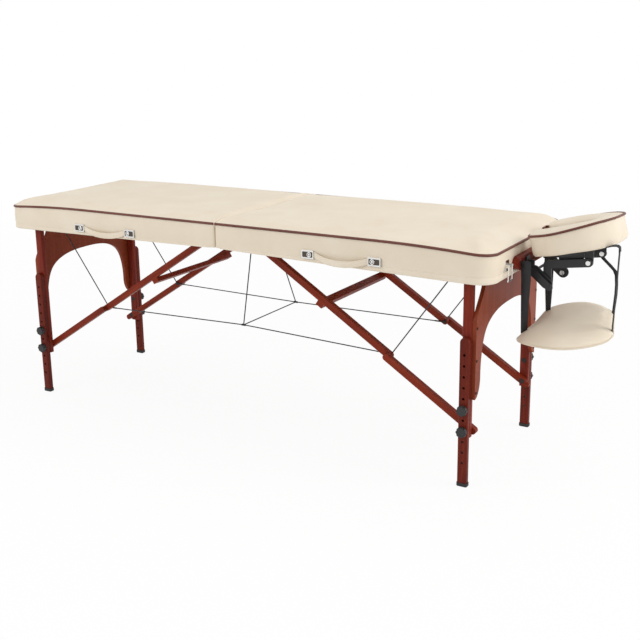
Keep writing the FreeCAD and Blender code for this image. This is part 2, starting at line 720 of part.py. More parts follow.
def handle_strap():
    """A strap handle: flat under its caps, bowed outwards and sagging between them."""
    z = UNDERSIDE + HANDLE_RISE
    back = -HALF_WIDTH - FIT / 2
    half = HANDLE_HALF + CAP_LENGTH / 2
    flat = HANDLE_HALF - CAP_LENGTH / 2
    stations = [(-half, 0), (-flat, 0), (-0.55 * flat, 0.7), (0, 1), (0.55 * flat, 0.7), (flat, 0), (half, 0)]
    wires = []
    for x, share in stations:
        y0 = back - STRAP_BOW * share
        z0 = z - STRAP_SAG * share - STRAP_WIDTH / 2
        corners = [
            V(HANDLE_X + x, y0, z0),
            V(HANDLE_X + x, y0 - STRAP_T, z0),
            V(HANDLE_X + x, y0 - STRAP_T, z0 + STRAP_WIDTH),
            V(HANDLE_X + x, y0, z0 + STRAP_WIDTH),
        ]
        wires.append(Part.makePolygon(corners + corners[:1]))
    return Part.makeLoft(wires, True, True)


def latch_plate():
    """The draw latch's plate on the table end, with two lugs for its bail."""
    z = UNDERSIDE + LATCH_RISE
    half = LATCH_W / 2
    face = HALF_LENGTH
    latch = box(face, face + LATCH_T, -LATCH_Y - half, -LATCH_Y + half, z - LATCH_H / 2, z + LATCH_H / 2)
    axis_x, axis_z = bail_axis()
    for y in (-LATCH_Y - half, -LATCH_Y + half - LATCH_T):
        lug = box(face, axis_x, y, y + LATCH_T, axis_z - LUG_REACH / 2, axis_z + LUG_REACH / 2)
        latch = latch.fuse(lug).fuse(rod_y(axis_x, axis_z, y, y + LATCH_T, LUG_REACH / 2))
    hole = rod_y(axis_x, axis_z, -LATCH_Y - LATCH_W, -LATCH_Y + LATCH_W, BAIL_WIRE_R + RUN)
    return latch.removeSplitter().cut(hole)


def bail_axis():
    """Where the latch bail turns, in X and Z."""
    return HALF_LENGTH + LATCH_T + LUG_REACH, UNDERSIDE + LATCH_RISE


def latch_bail():
    """The wire bail: an axle through the lugs, two sides that hang from it and a bar between them."""
    x, z = bail_axis()
    outer = LATCH_W / 2 + BAIL_WIRE_R + FIT
    low = z - BAIL_DROP
    reach = outer + BAIL_WIRE_R
    loop = rod_y(x, z, -LATCH_Y - reach, -LATCH_Y + reach, BAIL_WIRE_R)
    for side in (-1, 1):
        y = -LATCH_Y + side * outer
        loop = loop.fuse(rod(V(x, y, z), V(x, y, low), BAIL_SIDE_R))
    return loop.fuse(rod_y(x, low, -LATCH_Y - reach, -LATCH_Y + reach, BAIL_WIRE_R)).removeSplitter()


def latch_catch():
    """The hook plate on the other table end that the bail pulls on."""
    z = UNDERSIDE + LATCH_RISE
    half = LATCH_W / 3
    face = -HALF_LENGTH
    catch = box(face, face - LATCH_T, -LATCH_Y - half, -LATCH_Y + half, z - LATCH_H / 2, z + LATCH_H / 2)
    top = z + LATCH_H / 2
    lip = box(face, face - 2 * LATCH_T, -LATCH_Y - half, -LATCH_Y + half, top - LATCH_T, top)
    return catch.fuse(lip).removeSplitter()


# Face cradle
def cradle_board():
    """The wooden board along the table end, and the two dowels in it."""
    half = BOARD_W / 2
    x0 = HALF_LENGTH + FIT
    ends = [(-BOARD_HALF + half, SOCKET_Z, half), (BOARD_HALF - half, SOCKET_Z, half)]
    board = plate(hull_wire(ends, 0, lambda y, z: V(x0, y, z)), V(BOARD_T, 0, 0))
    dowels = []
    for y in (-SOCKET_SPREAD, SOCKET_SPREAD):
        board = board.cut(rod_x(y, SOCKET_Z, x0, x0 + BOARD_T, DOWEL_R))
        dowels.append(rod_x(y, SOCKET_Z, HALF_LENGTH - DOWEL_REACH, x0 + BOARD_T, DOWEL_R))
    return group([board] + dowels)


def cradle_brackets():
    """The two plates on the board that carry the arms, and the clamp rod between them."""
    face = HALF_LENGTH + FIT + BOARD_T
    y0 = ARM_Y + PLATE_T + STRUT_GAP
    y1 = y0 + PLATE_T
    rod_at = (HALF_LENGTH + ROD_X, ROD_Z)
    pivot = (HALF_LENGTH + ARM_PIVOT_X, ARM_PIVOT_Z)
    side = bar_xz([rod_at, pivot], BRACKET_HALF_W, y0, y1)
    side = side.fuse(box(face, rod_at[0], y0, y1, ROD_Z - BRACKET_HALF_W, SOCKET_Z))
    low, high = ROD_Z + ROD_DROP / 2, SOCKET_Z + BOARD_W / 3
    side = side.fuse(box(face, face + PLATE_T, y0, y1 + BOARD_W / 2, low, high))
    side = side.removeSplitter().cut(rod_y(*rod_at, 0, HALF_WIDTH, ROD_R + RUN))
    side = side.cut(rod_y(*pivot, 0, HALF_WIDTH, BOLT_R + RUN))
    clamp = rod_y(*rod_at, -y1 - LEVER_T - 2, y1 + 2, ROD_R)
    nut = rod_y(*rod_at, y1 + FIT, y1 + 5, ROD_R + 4)
    return group(pair(side) + [clamp.fuse(nut).removeSplitter()])


def cradle_arm():
    """One arm: up from its pivot, then out to the platform's bolt."""
    pivot = (HALF_LENGTH + ARM_PIVOT_X, ARM_PIVOT_Z)
    elbow = (HALF_LENGTH + ARM_PIVOT_X, ARM_PIVOT_Z + ARM_RISE)
    end = (HALF_LENGTH + ARM_END_X, ARM_END_Z)
    arm = bar_xz([pivot, elbow, end], ARM_HALF_W, ARM_Y, ARM_Y + PLATE_T)
    for x, z in (pivot, end):
        arm = arm.cut(rod_y(x, z, 0, HALF_WIDTH, BOLT_R + RUN))
    return arm


def cradle_bolts():
    """The bolts at the arms' pivots and ends."""
    bolts = []
    inner = ARM_Y - STRUT_GAP - PLATE_T
    outer = ARM_Y + 2 * PLATE_T + STRUT_GAP
    pivot = (HALF_LENGTH + ARM_PIVOT_X, ARM_PIVOT_Z)
    end = (HALF_LENGTH + ARM_END_X, ARM_END_Z)
    for (x, z), y0, y1 in ((pivot, ARM_Y, outer), (end, inner, ARM_Y + PLATE_T)):
        bolt = rod_y(x, z, y0 - 1, y1 + 1, BOLT_R)
        bolt = bolt.fuse(rod_y(x, z, y0 - 4, y0 - FIT, BOLT_R + 3))
        bolt = bolt.fuse(rod_y(x, z, y1 + FIT, y1 + 4, BOLT_R + 3))
        bolts += pair(bolt.removeSplitter())
    return group(bolts)


def tilted(shape):
    """Put a piece made flat, from the pad's inner edge outwards, at the pad's tilt and place."""
    shape.rotate(V(0, 0, 0), V(0, 1, 0), -PAD_TILT)
    shape.translate(V(HALF_LENGTH + PAD_X, 0, UNDERSIDE + PAD_RISE))
    return shape


def pad_circles():
    """The horseshoe pad's outline, from its near tip round its outer end to its far tip."""
    return [
        (PAD_TIP_R, -PAD_TIP_Y, PAD_TIP_R),
        (PAD_SIDE_X, -PAD_SIDE_Y, PAD_SIDE_R),
        (PAD_OUTER_X, -PAD_OUTER_Y, PAD_OUTER_R),
        (PAD_OUTER_X, PAD_OUTER_Y, PAD_OUTER_R),
        (PAD_SIDE_X, PAD_SIDE_Y, PAD_SIDE_R),
        (PAD_TIP_R, PAD_TIP_Y, PAD_TIP_R),
    ]


def slot_cut(half_width, low, high):
    """The face opening: a slot from the pad's inner edge to a round end."""
    reach = PAD_SIDE_R
    cut = box(-reach, PAD_SLOT_END, -half_width, half_width, low, high)
    return cut.fuse(Part.makeCylinder(half_width, high - low, V(PAD_SLOT_END, 0, low)))


def face_pad():
    """The horseshoe face pad with drawn-in sides and a crown."""
    sides = [(0, 5.0), (0.1, 1.0), (0.28, 0), (0.55, 2.2), (0.85, 0), (1.0, 2.0)]
    crown = [(rise, PAD_CROWN_REACH * share) for rise, share in ((0.45, 0.206), (0.8, 0.53), (1.0, 1.0))]
    levels = [(PAD_SIDE * share, inset) for share, inset in sides]
    levels += [(PAD_SIDE + PAD_CROWN * share, inset) for share, inset in crown]
    wires = [hull_wire(pad_circles(), inset, lambda x, y, z=z: V(x, y, z)) for z, inset in levels]
    pad = Part.makeLoft(wires, True, True)
    return tilted(pad.cut(slot_cut(PAD_SLOT, -1, PAD_SIDE + PAD_CROWN + 1)))


def cradle_platform():
    """The horseshoe plate under the pad, and the two ears that the arms' end bolts pass through."""
    wire = hull_wire(pad_circles(), PLATFORM_INSET, lambda x, y: V(x, y, -PLATFORM_T - FIT))
    base = plate(wire, V(0, 0, PLATFORM_T))
    base = tilted(base.cut(slot_cut(PLATFORM_SLOT, -PLATFORM_T - 1, 1)))
    x, z = HALF_LENGTH + ARM_END_X, ARM_END_Z
    outer = ARM_Y - STRUT_GAP
    slope = math.tan(math.radians(PAD_TILT))
    under = UNDERSIDE + PAD_RISE + (ARM_END_X - PAD_X - EAR_HALF_W) * slope - PLATFORM_T
    for side in (-1, 1):
        y0, y1 = side * (outer - PLATE_T), side * outer
        ear = rod_y(x, z, y0, y1, EAR_HALF_W).fuse(box(x - EAR_HALF_W, x + EAR_HALF_W, y0, y1, z, under + 2))
        base = base.fuse(ear.removeSplitter())
    return base.removeSplitter().cut(rod_y(x, z, -HALF_WIDTH, HALF_WIDTH, BOLT_R + RUN))


def cradle_lever():
    """The cam lever on the near end of the clamp rod, lying along the bracket."""
    x, z = HALF_LENGTH + ROD_X, ROD_Z
    lean = math.atan2(ROD_Z - ARM_PIVOT_Z, ARM_PIVOT_X - ROD_X)
    end = (x + LEVER_LENGTH * math.cos(lean), z - LEVER_LENGTH * math.sin(lean))
    y0 = -(ARM_Y + 2 * PLATE_T + 2 * STRUT_GAP) - 4
    lever = bar_xz([(x, z), end], LEVER_HALF_W, y0, y0 - LEVER_T + 2)
    lever = lever.fuse(rod_y(x, z, y0 + 4 - FIT, y0 - LEVER_T + 2, LEVER_HALF_W)).removeSplitter()
    return lever.cut(rod_y(x, z, -HALF_WIDTH, 0, ROD_R + RUN))


# Arm shelf under the cradle
def shelf_place(shape):
    """Put the shelf, made flat from its inner edge outwards, at its tilt and place."""
    shape.rotate(V(0, 0, 0), V(0, 1, 0), -SHELF_TILT)
    shape.translate(V(HALF_LENGTH + SHELF_X, 0, SHELF_Z))
    return shape


def shelf_pad():
    """The padded arm shelf: lens-shaped, crowned above and below."""
    r, side_r = SHELF_CORNER_R, SHELF_SIDE_R
    near = [
        (r, -SHELF_INNER_Y + r, r),
        (SHELF_LENGTH * 0.44, -SHELF_SIDE_Y + side_r, side_r),
        (SHELF_LENGTH - r, -SHELF_OUTER_Y + r, r),
    ]
    circles = near + [(x, -y, rad) for x, y, rad in reversed(near)]
    levels = [(0, 17.0), (0.12, 7.0), (0.3, 1.5), (0.5, 0), (0.7, 1.5), (0.88, 7.0), (1.0, 17.0)]
    wires = [hull_wire(circles, inset, lambda x, y, z=SHELF_T * s: V(x, y, z)) for s, inset in levels]
    return shelf_place(Part.makeLoft(wires, True, True))


def web(stations, along_x):
    """A webbing strap through stations (x, y, z, width), its width along X or along Y."""
    wires = []
    for x, y, z, width in stations:
        w, t = width / 2, WEB_T / 2
        dx, dy = (w, t) if along_x else (t, w)
        corners = [V(x - dx, y - dy, z), V(x + dx, y - dy, z), V(x + dx, y + dy, z), V(x - dx, y + dy, z)]
        wires.append(Part.makePolygon(corners + corners[:1]))
    return Part.makeLoft(wires, True, True)


def inner_straps():
    """The two straps from the board's ends down to the shelf, shaped to its top where they are sewn on."""
    x = HALF_LENGTH + FIT + BOARD_T + INNER_WEB_W / 2 + FIT
    top = SOCKET_Z + BOARD_W / 4
    low = SHELF_Z + SHELF_T / 2
    strap = web([(x, INNER_WEB_Y, low, INNER_WEB_END_W), (x, INNER_WEB_Y, top, INNER_WEB_W)], True)
    tab = box(x - INNER_WEB_W / 2 - FIT, x, INNER_WEB_Y - WEB_T / 2, INNER_WEB_Y + WEB_T / 2, SOCKET_Z, top)
    return group(pair(strap.fuse(tab).removeSplitter().cut(shelf_pad())))


def outer_straps():
    """The two straps from the shelf's outer corners up to the pad's underside near its outer end."""
    x = HALF_LENGTH + SHELF_X + SHELF_LENGTH * math.cos(math.radians(SHELF_TILT)) - SHELF_CORNER_R
    low = SHELF_Z + SHELF_T + (SHELF_LENGTH - SHELF_CORNER_R) * math.sin(math.radians(SHELF_TILT)) + FIT
    reach = HALF_LENGTH + PAD_X + PAD_OUTER_X + 0.63 * PAD_OUTER_R
    top = UNDERSIDE + PAD_RISE + (reach - HALF_LENGTH - PAD_X) * math.tan(math.radians(PAD_TILT))
    top -= 2 * FIT
    y = OUTER_WEB_Y
    bottom_y = SHELF_OUTER_Y - SHELF_CORNER_R
    places = ((x, bottom_y, low), (x + 4, y, (low + top) / 2), (reach, y, top))
    strap = web([(*place, OUTER_WEB_W) for place in places], False)
    return group(pair(strap))


# The whole table
def right_half():
    """The nodes of the right half that the left half mirrors."""
    nodes = dict(padded_top())
    ys = (-HINGE_SPREAD, 0, HINGE_SPREAD)
    nodes["hinge_leaves"] = group([hinge_leaf(y, 1) for y in ys])
    nodes["brackets"] = group([s for part in leg_bracket() + brace_bracket() for s in pair(part)])
    nodes["leg_posts"] = group(pair(leg_post()))
    nodes["arch_panel"] = arch_panel()
    bolts = pair(leg_bolt(LOWER_BOLT_Z, True)) + pair(leg_bolt(UPPER_BOLT_Z, False))
    bolts += [s for z in screw_heights() for s in pair(panel_screw_head(z))]
    nodes["leg_bolts"] = group(bolts)
    nodes["upper_struts"] = group(pair(upper_strut()) + [crossbar()])
    nodes["lower_struts"] = group(pair(lower_strut()))
    nodes["cables"] = group(pair(stay()))
    nodes["runs"] = group(pair(run_cable()))
    nodes["handle_strap"] = handle_strap()
    return nodes


def all_nodes():
    """Every node by name, in the table's frame: floor at zero, centre hinge plane at X zero."""
    nodes = {}
    for name, shape in right_half().items():
        nodes["right_" + name] = shape
        nodes["left_" + name] = flip_x(shape)
    ys = (-HINGE_SPREAD, 0, HINGE_SPREAD)
    nodes["left_hinge_leaves"] = group([flip_x(hinge_leaf(y, 0)) for y in ys])
    nodes["hinge_pins"] = group([hinge_pin(y) for y in ys])
    nodes["left_cables"] = group([flip_x(nodes["right_cables"]), centre_ties()])
    for end, place in (("right", lambda s: s), ("left", flip_x)):
        for side, turn in (("far", lambda s: s), ("near", flip_y)):
            name = side + "_" + end
            nodes[name + "_lower_leg"] = place(turn(lower_leg()))
            nodes[name + "_foot"] = place(turn(foot()))
            nodes[name + "_upper_knob"] = place(turn(knob(UPPER_BOLT_Z)))
            nodes[name + "_lower_knob"] = place(turn(knob(LOWER_BOLT_Z)))
    nodes["right_fittings"] = group(handle_caps() + [latch_plate()])
    nodes["left_fittings"] = group([flip_x(cap) for cap in handle_caps()] + [latch_catch()])
    nodes["latch_bail"] = latch_bail()
    nodes["cradle_board"] = cradle_board()
    nodes["cradle_brackets"] = cradle_brackets()
    nodes["cradle_arms"] = group(pair(cradle_arm()))
    nodes["cradle_bolts"] = cradle_bolts()
    nodes["cradle_platform"] = cradle_platform()
    nodes["face_pad"] = face_pad()
    nodes["cradle_lever"] = cradle_lever()
    nodes["shelf_pad"] = shelf_pad()
    nodes["inner_straps"] = inner_straps()
    nodes["outer_straps"] = outer_straps()
    return nodes


def base_centre(nodes):
    """The middle of the whole table's plan, which is the part's origin on the floor."""
    bound = FreeCAD.BoundBox()
    for shape in nodes.values():
        bound.add(shape.optimalBoundingBox(False))
    return V(bound.Center.x, bound.Center.y, 0)


def main():
    """Build every node, move the origin to the middle of the plan and write the files."""
    os.makedirs("parts", exist_ok=True)
    nodes = all_nodes()
    shift = -base_centre(nodes)
    for name, shape in nodes.items():
        shape.translate(shift)
        shape.exportStep("parts/" + name + ".step")
    print("origin shift", round(shift.x, 4), round(shift.y, 4), "nodes", len(nodes))


if __name__ == "__main__":
    main()
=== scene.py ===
"""Looks of a two-section folding massage table with a face cradle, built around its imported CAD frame.

Sizes in the classes are in millimetres, and meshes are in metres. Table places are counted from the centre
hinge: X along the table towards the cradle, Y towards the far side, Z up from the floor.
"""

from __future__ import annotations

import json
import logging
import math
from collections.abc import Mapping, Sequence
from dataclasses import dataclass, field
from enum import Enum
from typing import Any, ClassVar

import bmesh
import bpy
from mathutils import Matrix, Vector
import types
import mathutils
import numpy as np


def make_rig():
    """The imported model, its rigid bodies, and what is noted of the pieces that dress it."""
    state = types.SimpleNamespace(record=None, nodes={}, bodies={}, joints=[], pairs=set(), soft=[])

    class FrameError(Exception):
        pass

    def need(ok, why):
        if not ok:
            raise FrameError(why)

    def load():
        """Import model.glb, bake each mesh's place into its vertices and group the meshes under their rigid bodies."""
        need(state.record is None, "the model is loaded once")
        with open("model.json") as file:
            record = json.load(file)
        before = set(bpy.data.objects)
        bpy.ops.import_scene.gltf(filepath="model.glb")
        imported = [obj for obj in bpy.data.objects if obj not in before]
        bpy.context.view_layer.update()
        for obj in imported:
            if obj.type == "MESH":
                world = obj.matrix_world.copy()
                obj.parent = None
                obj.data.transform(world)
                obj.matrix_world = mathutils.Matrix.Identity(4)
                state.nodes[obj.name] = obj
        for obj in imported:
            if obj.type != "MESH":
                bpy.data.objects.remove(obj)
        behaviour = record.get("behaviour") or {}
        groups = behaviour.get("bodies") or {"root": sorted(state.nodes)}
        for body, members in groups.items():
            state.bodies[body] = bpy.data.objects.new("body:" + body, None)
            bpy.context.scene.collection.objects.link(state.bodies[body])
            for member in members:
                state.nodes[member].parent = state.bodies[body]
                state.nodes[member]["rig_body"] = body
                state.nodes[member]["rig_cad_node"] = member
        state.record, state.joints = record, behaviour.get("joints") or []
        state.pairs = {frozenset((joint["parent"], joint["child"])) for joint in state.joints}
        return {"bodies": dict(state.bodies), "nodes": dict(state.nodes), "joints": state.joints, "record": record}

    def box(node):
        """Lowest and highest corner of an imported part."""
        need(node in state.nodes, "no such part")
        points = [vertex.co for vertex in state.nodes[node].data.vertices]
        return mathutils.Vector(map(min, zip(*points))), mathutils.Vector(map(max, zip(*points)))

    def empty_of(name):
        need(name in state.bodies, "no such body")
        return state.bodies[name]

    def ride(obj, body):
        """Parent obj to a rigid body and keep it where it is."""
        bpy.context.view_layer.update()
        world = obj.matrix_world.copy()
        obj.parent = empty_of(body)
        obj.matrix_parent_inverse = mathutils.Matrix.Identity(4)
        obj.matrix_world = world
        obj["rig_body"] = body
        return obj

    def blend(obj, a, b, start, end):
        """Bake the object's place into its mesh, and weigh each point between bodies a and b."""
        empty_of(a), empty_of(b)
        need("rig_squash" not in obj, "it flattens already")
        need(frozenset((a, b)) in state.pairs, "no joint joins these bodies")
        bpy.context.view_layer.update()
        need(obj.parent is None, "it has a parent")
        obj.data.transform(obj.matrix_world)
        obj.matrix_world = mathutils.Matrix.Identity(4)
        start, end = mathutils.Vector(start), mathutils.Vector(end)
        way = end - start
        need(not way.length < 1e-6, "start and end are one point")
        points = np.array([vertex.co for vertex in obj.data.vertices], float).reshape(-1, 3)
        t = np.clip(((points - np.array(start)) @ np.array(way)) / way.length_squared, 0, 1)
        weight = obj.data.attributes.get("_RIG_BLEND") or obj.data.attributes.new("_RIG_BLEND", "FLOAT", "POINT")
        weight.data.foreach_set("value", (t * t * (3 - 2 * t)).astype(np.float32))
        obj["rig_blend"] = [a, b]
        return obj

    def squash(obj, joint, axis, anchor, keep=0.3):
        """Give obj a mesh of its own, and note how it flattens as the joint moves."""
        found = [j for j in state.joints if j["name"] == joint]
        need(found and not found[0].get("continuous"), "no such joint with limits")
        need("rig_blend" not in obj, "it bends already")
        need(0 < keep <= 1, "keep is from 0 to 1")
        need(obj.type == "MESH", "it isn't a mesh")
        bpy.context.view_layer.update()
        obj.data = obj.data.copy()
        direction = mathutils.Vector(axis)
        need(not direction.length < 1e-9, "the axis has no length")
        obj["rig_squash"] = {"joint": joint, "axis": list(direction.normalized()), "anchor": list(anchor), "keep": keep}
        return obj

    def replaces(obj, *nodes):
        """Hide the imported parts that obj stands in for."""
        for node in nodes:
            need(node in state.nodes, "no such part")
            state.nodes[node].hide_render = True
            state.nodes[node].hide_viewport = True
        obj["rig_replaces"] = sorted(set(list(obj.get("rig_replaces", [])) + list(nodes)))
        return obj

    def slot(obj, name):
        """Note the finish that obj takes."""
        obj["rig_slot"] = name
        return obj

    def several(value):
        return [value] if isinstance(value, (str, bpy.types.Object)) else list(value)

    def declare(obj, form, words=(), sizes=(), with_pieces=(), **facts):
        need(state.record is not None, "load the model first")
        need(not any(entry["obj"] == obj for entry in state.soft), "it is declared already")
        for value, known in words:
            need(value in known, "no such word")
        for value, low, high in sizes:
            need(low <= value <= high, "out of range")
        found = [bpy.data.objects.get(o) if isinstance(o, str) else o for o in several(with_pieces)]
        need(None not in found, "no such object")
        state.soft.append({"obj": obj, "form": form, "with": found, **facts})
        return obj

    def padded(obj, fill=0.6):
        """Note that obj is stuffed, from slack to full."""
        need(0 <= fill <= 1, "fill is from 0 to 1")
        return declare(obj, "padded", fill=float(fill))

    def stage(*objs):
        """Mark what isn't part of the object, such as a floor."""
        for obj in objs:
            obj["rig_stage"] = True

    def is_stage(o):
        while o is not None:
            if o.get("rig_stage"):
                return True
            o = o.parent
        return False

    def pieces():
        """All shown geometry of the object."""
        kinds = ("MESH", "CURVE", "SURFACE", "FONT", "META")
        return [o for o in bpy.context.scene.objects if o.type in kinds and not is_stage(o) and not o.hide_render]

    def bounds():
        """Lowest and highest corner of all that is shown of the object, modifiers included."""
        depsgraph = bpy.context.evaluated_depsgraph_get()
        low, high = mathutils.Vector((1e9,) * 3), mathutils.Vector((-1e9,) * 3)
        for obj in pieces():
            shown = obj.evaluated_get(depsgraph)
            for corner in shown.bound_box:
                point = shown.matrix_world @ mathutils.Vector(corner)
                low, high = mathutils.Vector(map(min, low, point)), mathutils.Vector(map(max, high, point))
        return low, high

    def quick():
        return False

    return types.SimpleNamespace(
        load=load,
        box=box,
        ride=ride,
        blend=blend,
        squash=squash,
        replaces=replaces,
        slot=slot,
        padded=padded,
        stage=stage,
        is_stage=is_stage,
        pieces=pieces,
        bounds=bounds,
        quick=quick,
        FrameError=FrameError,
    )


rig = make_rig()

log = logging.getLogger("massage_table")
MM = 0.001
SIZE_FILE = "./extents.json"
# How steep the braces are
BRACE_LEAN = math.radians(32.509)
# Edges over these angles, in degrees, stay sharp: none on leather, few on round pieces
SOFT = 180.0
ROUND = 60.0
# What the covers are made of when they swell
CLOTH = {
    "quality": 6,
    "mass": 0.4,
    "tension_stiffness": 18.0,
    "compression_stiffness": 18.0,
    "shear_stiffness": 9.0,
    "bending_stiffness": 1.2,
    "use_pressure": True,
}
Pair = tuple[float, float]
Colour = tuple[float, float, float]
Spot = tuple[float, float, float]
Station = tuple[float, float, float, float]
BMesh, Vert, Edge, Face = bmesh.types.BMesh, bmesh.types.BMVert, bmesh.types.BMEdge, bmesh.types.BMFace
Piece, Socket, Material = bpy.types.Object, bpy.types.NodeSocket, bpy.types.Material


class Place(Enum):
    """Where a piece is, as the sign of its X or Y."""

    def __str__(self) -> str:
        """Its word in the names of pieces and bodies."""
        return self.name.lower()


class End(Place):
    """The table's two halves."""

    LEFT = -1.0
    RIGHT = 1.0


class Side(Place):
    """The table's two long sides."""

    NEAR = -1.0
    FAR = 1.0


class Value:
    """A shader socket that takes Python arithmetic."""

    def __init__(self, graph: Graph, socket: Socket) -> None:
        """Keep the socket and the graph it is in."""
        self.graph = graph
        self.socket = socket

    def _math(self, operation: str, first: Any, second: Any) -> Value:
        """Add one Math node on two values or numbers."""
        node = self.graph.node("Math", {"operation": operation}, {0: first, 1: second})
        return Value(self.graph, node.outputs[0])

    def __add__(self, other: Any) -> Value:
        """Sum."""
        return self._math("ADD", self, other)

    __radd__ = __add__

    def __sub__(self, other: Any) -> Value:
        """Difference."""
        return self._math("SUBTRACT", self, other)

    def __rsub__(self, other: Any) -> Value:
        """Difference from a number."""
        return self._math("SUBTRACT", other, self)

    def __mul__(self, other: Any) -> Value:
        """Product."""
        return self._math("MULTIPLY", self, other)

    __rmul__ = __mul__

    def between(self, low: float, high: float) -> Value:
        """Share of the way from low to high, kept from 0 to 1."""
        node = self.graph.node("MapRange", {"clamp": True}, {0: self, 1: low, 2: high, 3: 0.0, 4: 1.0})
        return Value(self.graph, node.outputs[0])


class Graph:
    """The node tree of a material or a world."""

    def __init__(self, owner: Material | bpy.types.World) -> None:
        """Empty the owner's tree.

        Args:
            owner: The material or world.
        """
        owner.use_nodes = True
        self.tree = owner.node_tree
        self.tree.nodes.clear()

    def node(
        self,
        kind: str,
        settings: Mapping[str, Any] | None = None,
        sockets: Mapping[str | int, Any] | None = None,
    ) -> bpy.types.Node:
        """Add a node.

        Args:
            kind: The node's type, without the word that all of them begin with.
            settings: Its properties, set first; "stops" are a ramp's (place, colour) pairs.
            sockets: Values or links by socket name or number.

        Returns:
            The node.
        """
        made = self.tree.nodes.new("ShaderNode" + kind)
        for name, value in (settings or {}).items():
            if name == "stops":
                self._stops(made.color_ramp, value)
            else:
                setattr(made, name, value)
        for name, value in (sockets or {}).items():
            self.feed(made.inputs[name], value)
        return made

    @staticmethod
    def _stops(ramp: bpy.types.ColorRamp, stops: Sequence[tuple[float, Colour]]) -> None:
        """Set a ramp's stops.

        Args:
            ramp: The ramp.
            stops: Places from 0 to 1 with their colours.
        """
        while len(ramp.elements) < len(stops):
            ramp.elements.new(1.0)
        for element, (place, colour) in zip(ramp.elements, stops):
            element.position = place
            element.color = (*colour, 1.0)

    def feed(self, socket: Socket, value: Any) -> None:
        """Link or set one input.

        Args:
            socket: The input.
            value: A Value, an output socket, a number, or a colour or vector.
        """
        if isinstance(value, Value):
            value = value.socket
        if isinstance(value, Socket):
            self.tree.links.new(value, socket)
        elif socket.type == "RGBA":
            socket.default_value = (*value, 1.0)
        else:
            socket.default_value = value


class Surface(Graph):
    """One material's tree, with a Principled shader at its end."""

    def __init__(self, name: str) -> None:
        """Make the material.

        Args:
            name: The material's name.
        """
        self.material = bpy.data.materials.new(name)
        super().__init__(self.material)
        self.shader = self.node("BsdfPrincipled")
        self.node("OutputMaterial", {}, {0: self.shader.outputs[0]})
        self.place = self.node("TexCoord").outputs["Object"]

    def stretched(self, stretch: Sequence[float], turn: Sequence[float] = (0, 0, 0)) -> Socket:
        """Object coordinates, turned by Euler angles and then scaled by pattern units to a metre."""
        sockets = {"Vector": self.place, "Rotation": tuple(turn), "Scale": tuple(1 / s for s in stretch)}
        return self.node("Mapping", {"vector_type": "TEXTURE"}, sockets).outputs[0]

    def noise(
        self, vector: Any, scale: float, detail: float = 4, rough: float = 0.55, warp: float = 0
    ) -> Value:
        """Fractal noise from 0 to 1, read at a vector, with so many octaves and so much distortion."""
        sockets = {"Vector": vector, "Scale": scale, "Detail": detail, "Roughness": rough, "Distortion": warp}
        return Value(self, self.node("TexNoise", {}, sockets).outputs[0])

    def cells(self, vector: Any, scale: float) -> Value:
        """Distance to the nearest cell border, as in leather grain."""
        sockets = {"Vector": vector, "Scale": scale}
        return Value(self, self.node("TexVoronoi", {"feature": "DISTANCE_TO_EDGE"}, sockets).outputs[0])

    def bands(self, direction: str, scale: float, warp: float = 0.0) -> Value:
        """Even bands from 0 to 1, as in a weave or a twist.

        Args:
            direction: Which way they follow each other.
            scale: Their scale.
            warp: Their distortion.

        Returns:
            The bands.
        """
        settings = {"wave_type": "BANDS", "bands_direction": direction}
        sockets = {"Vector": self.place, "Scale": scale, "Distortion": warp}
        return Value(self, self.node("TexWave", settings, sockets).outputs[1])

    def ramp(self, factor: Value, stops: Sequence[tuple[float, Colour]]) -> Socket:
        """Colours along a value."""
        return self.node("ValToRGB", {"stops": stops}, {0: factor}).outputs[0]

    def mix(self, factor: Any, first: Any, second: Any) -> Socket:
        """Mix two colours, by the share of the second."""
        settings = {"data_type": "RGBA", "blend_type": "MIX"}
        return self.node("Mix", settings, {0: factor, 6: first, 7: second}).outputs[2]

    def relief(self, height: Value, depth: float, strength: float = 1.0) -> None:
        """Feed a bump to the shader, on top of any that is there.

        Args:
            height: The relief from 0 to 1.
            depth: Its depth in metres.
            strength: Its strength.
        """
        sockets: dict[str | int, Any] = {"Height": height, "Distance": depth, "Strength": strength}
        normal = self.shader.inputs["Normal"]
        if normal.is_linked:
            sockets["Normal"] = normal.links[0].from_socket
        self.feed(normal, self.node("Bump", {}, sockets).outputs[0])

    def surface(self, **sockets: Any) -> None:
        """Set the shader's sockets.

        Args:
            **sockets: Values by name, with underscores for the spaces.
        """
        for name, value in sockets.items():
            title = " ".join(word if word.isupper() else word.capitalize() for word in name.split("_"))
            self.feed(self.shader.inputs[title], value)


@dataclass(frozen=True)
class Finish:
    """A finish, whose material is made once."""

    name: str
    made: ClassVar[dict[str, Material]] = {}

    @property
    def material(self) -> Material:
        """The finish's material.

        Returns:
            The material, which is made when it is first asked for.
        """
        if self.name not in self.made:
            tree = Surface(self.name)
            self.dress(tree)
            self.made[self.name] = tree.material
        return self.made[self.name]

    def dress(self, g: Surface) -> None:
        """Give the material its colour, gloss and relief.

        Args:
            g: The material's tree.
        """
        raise NotImplementedError


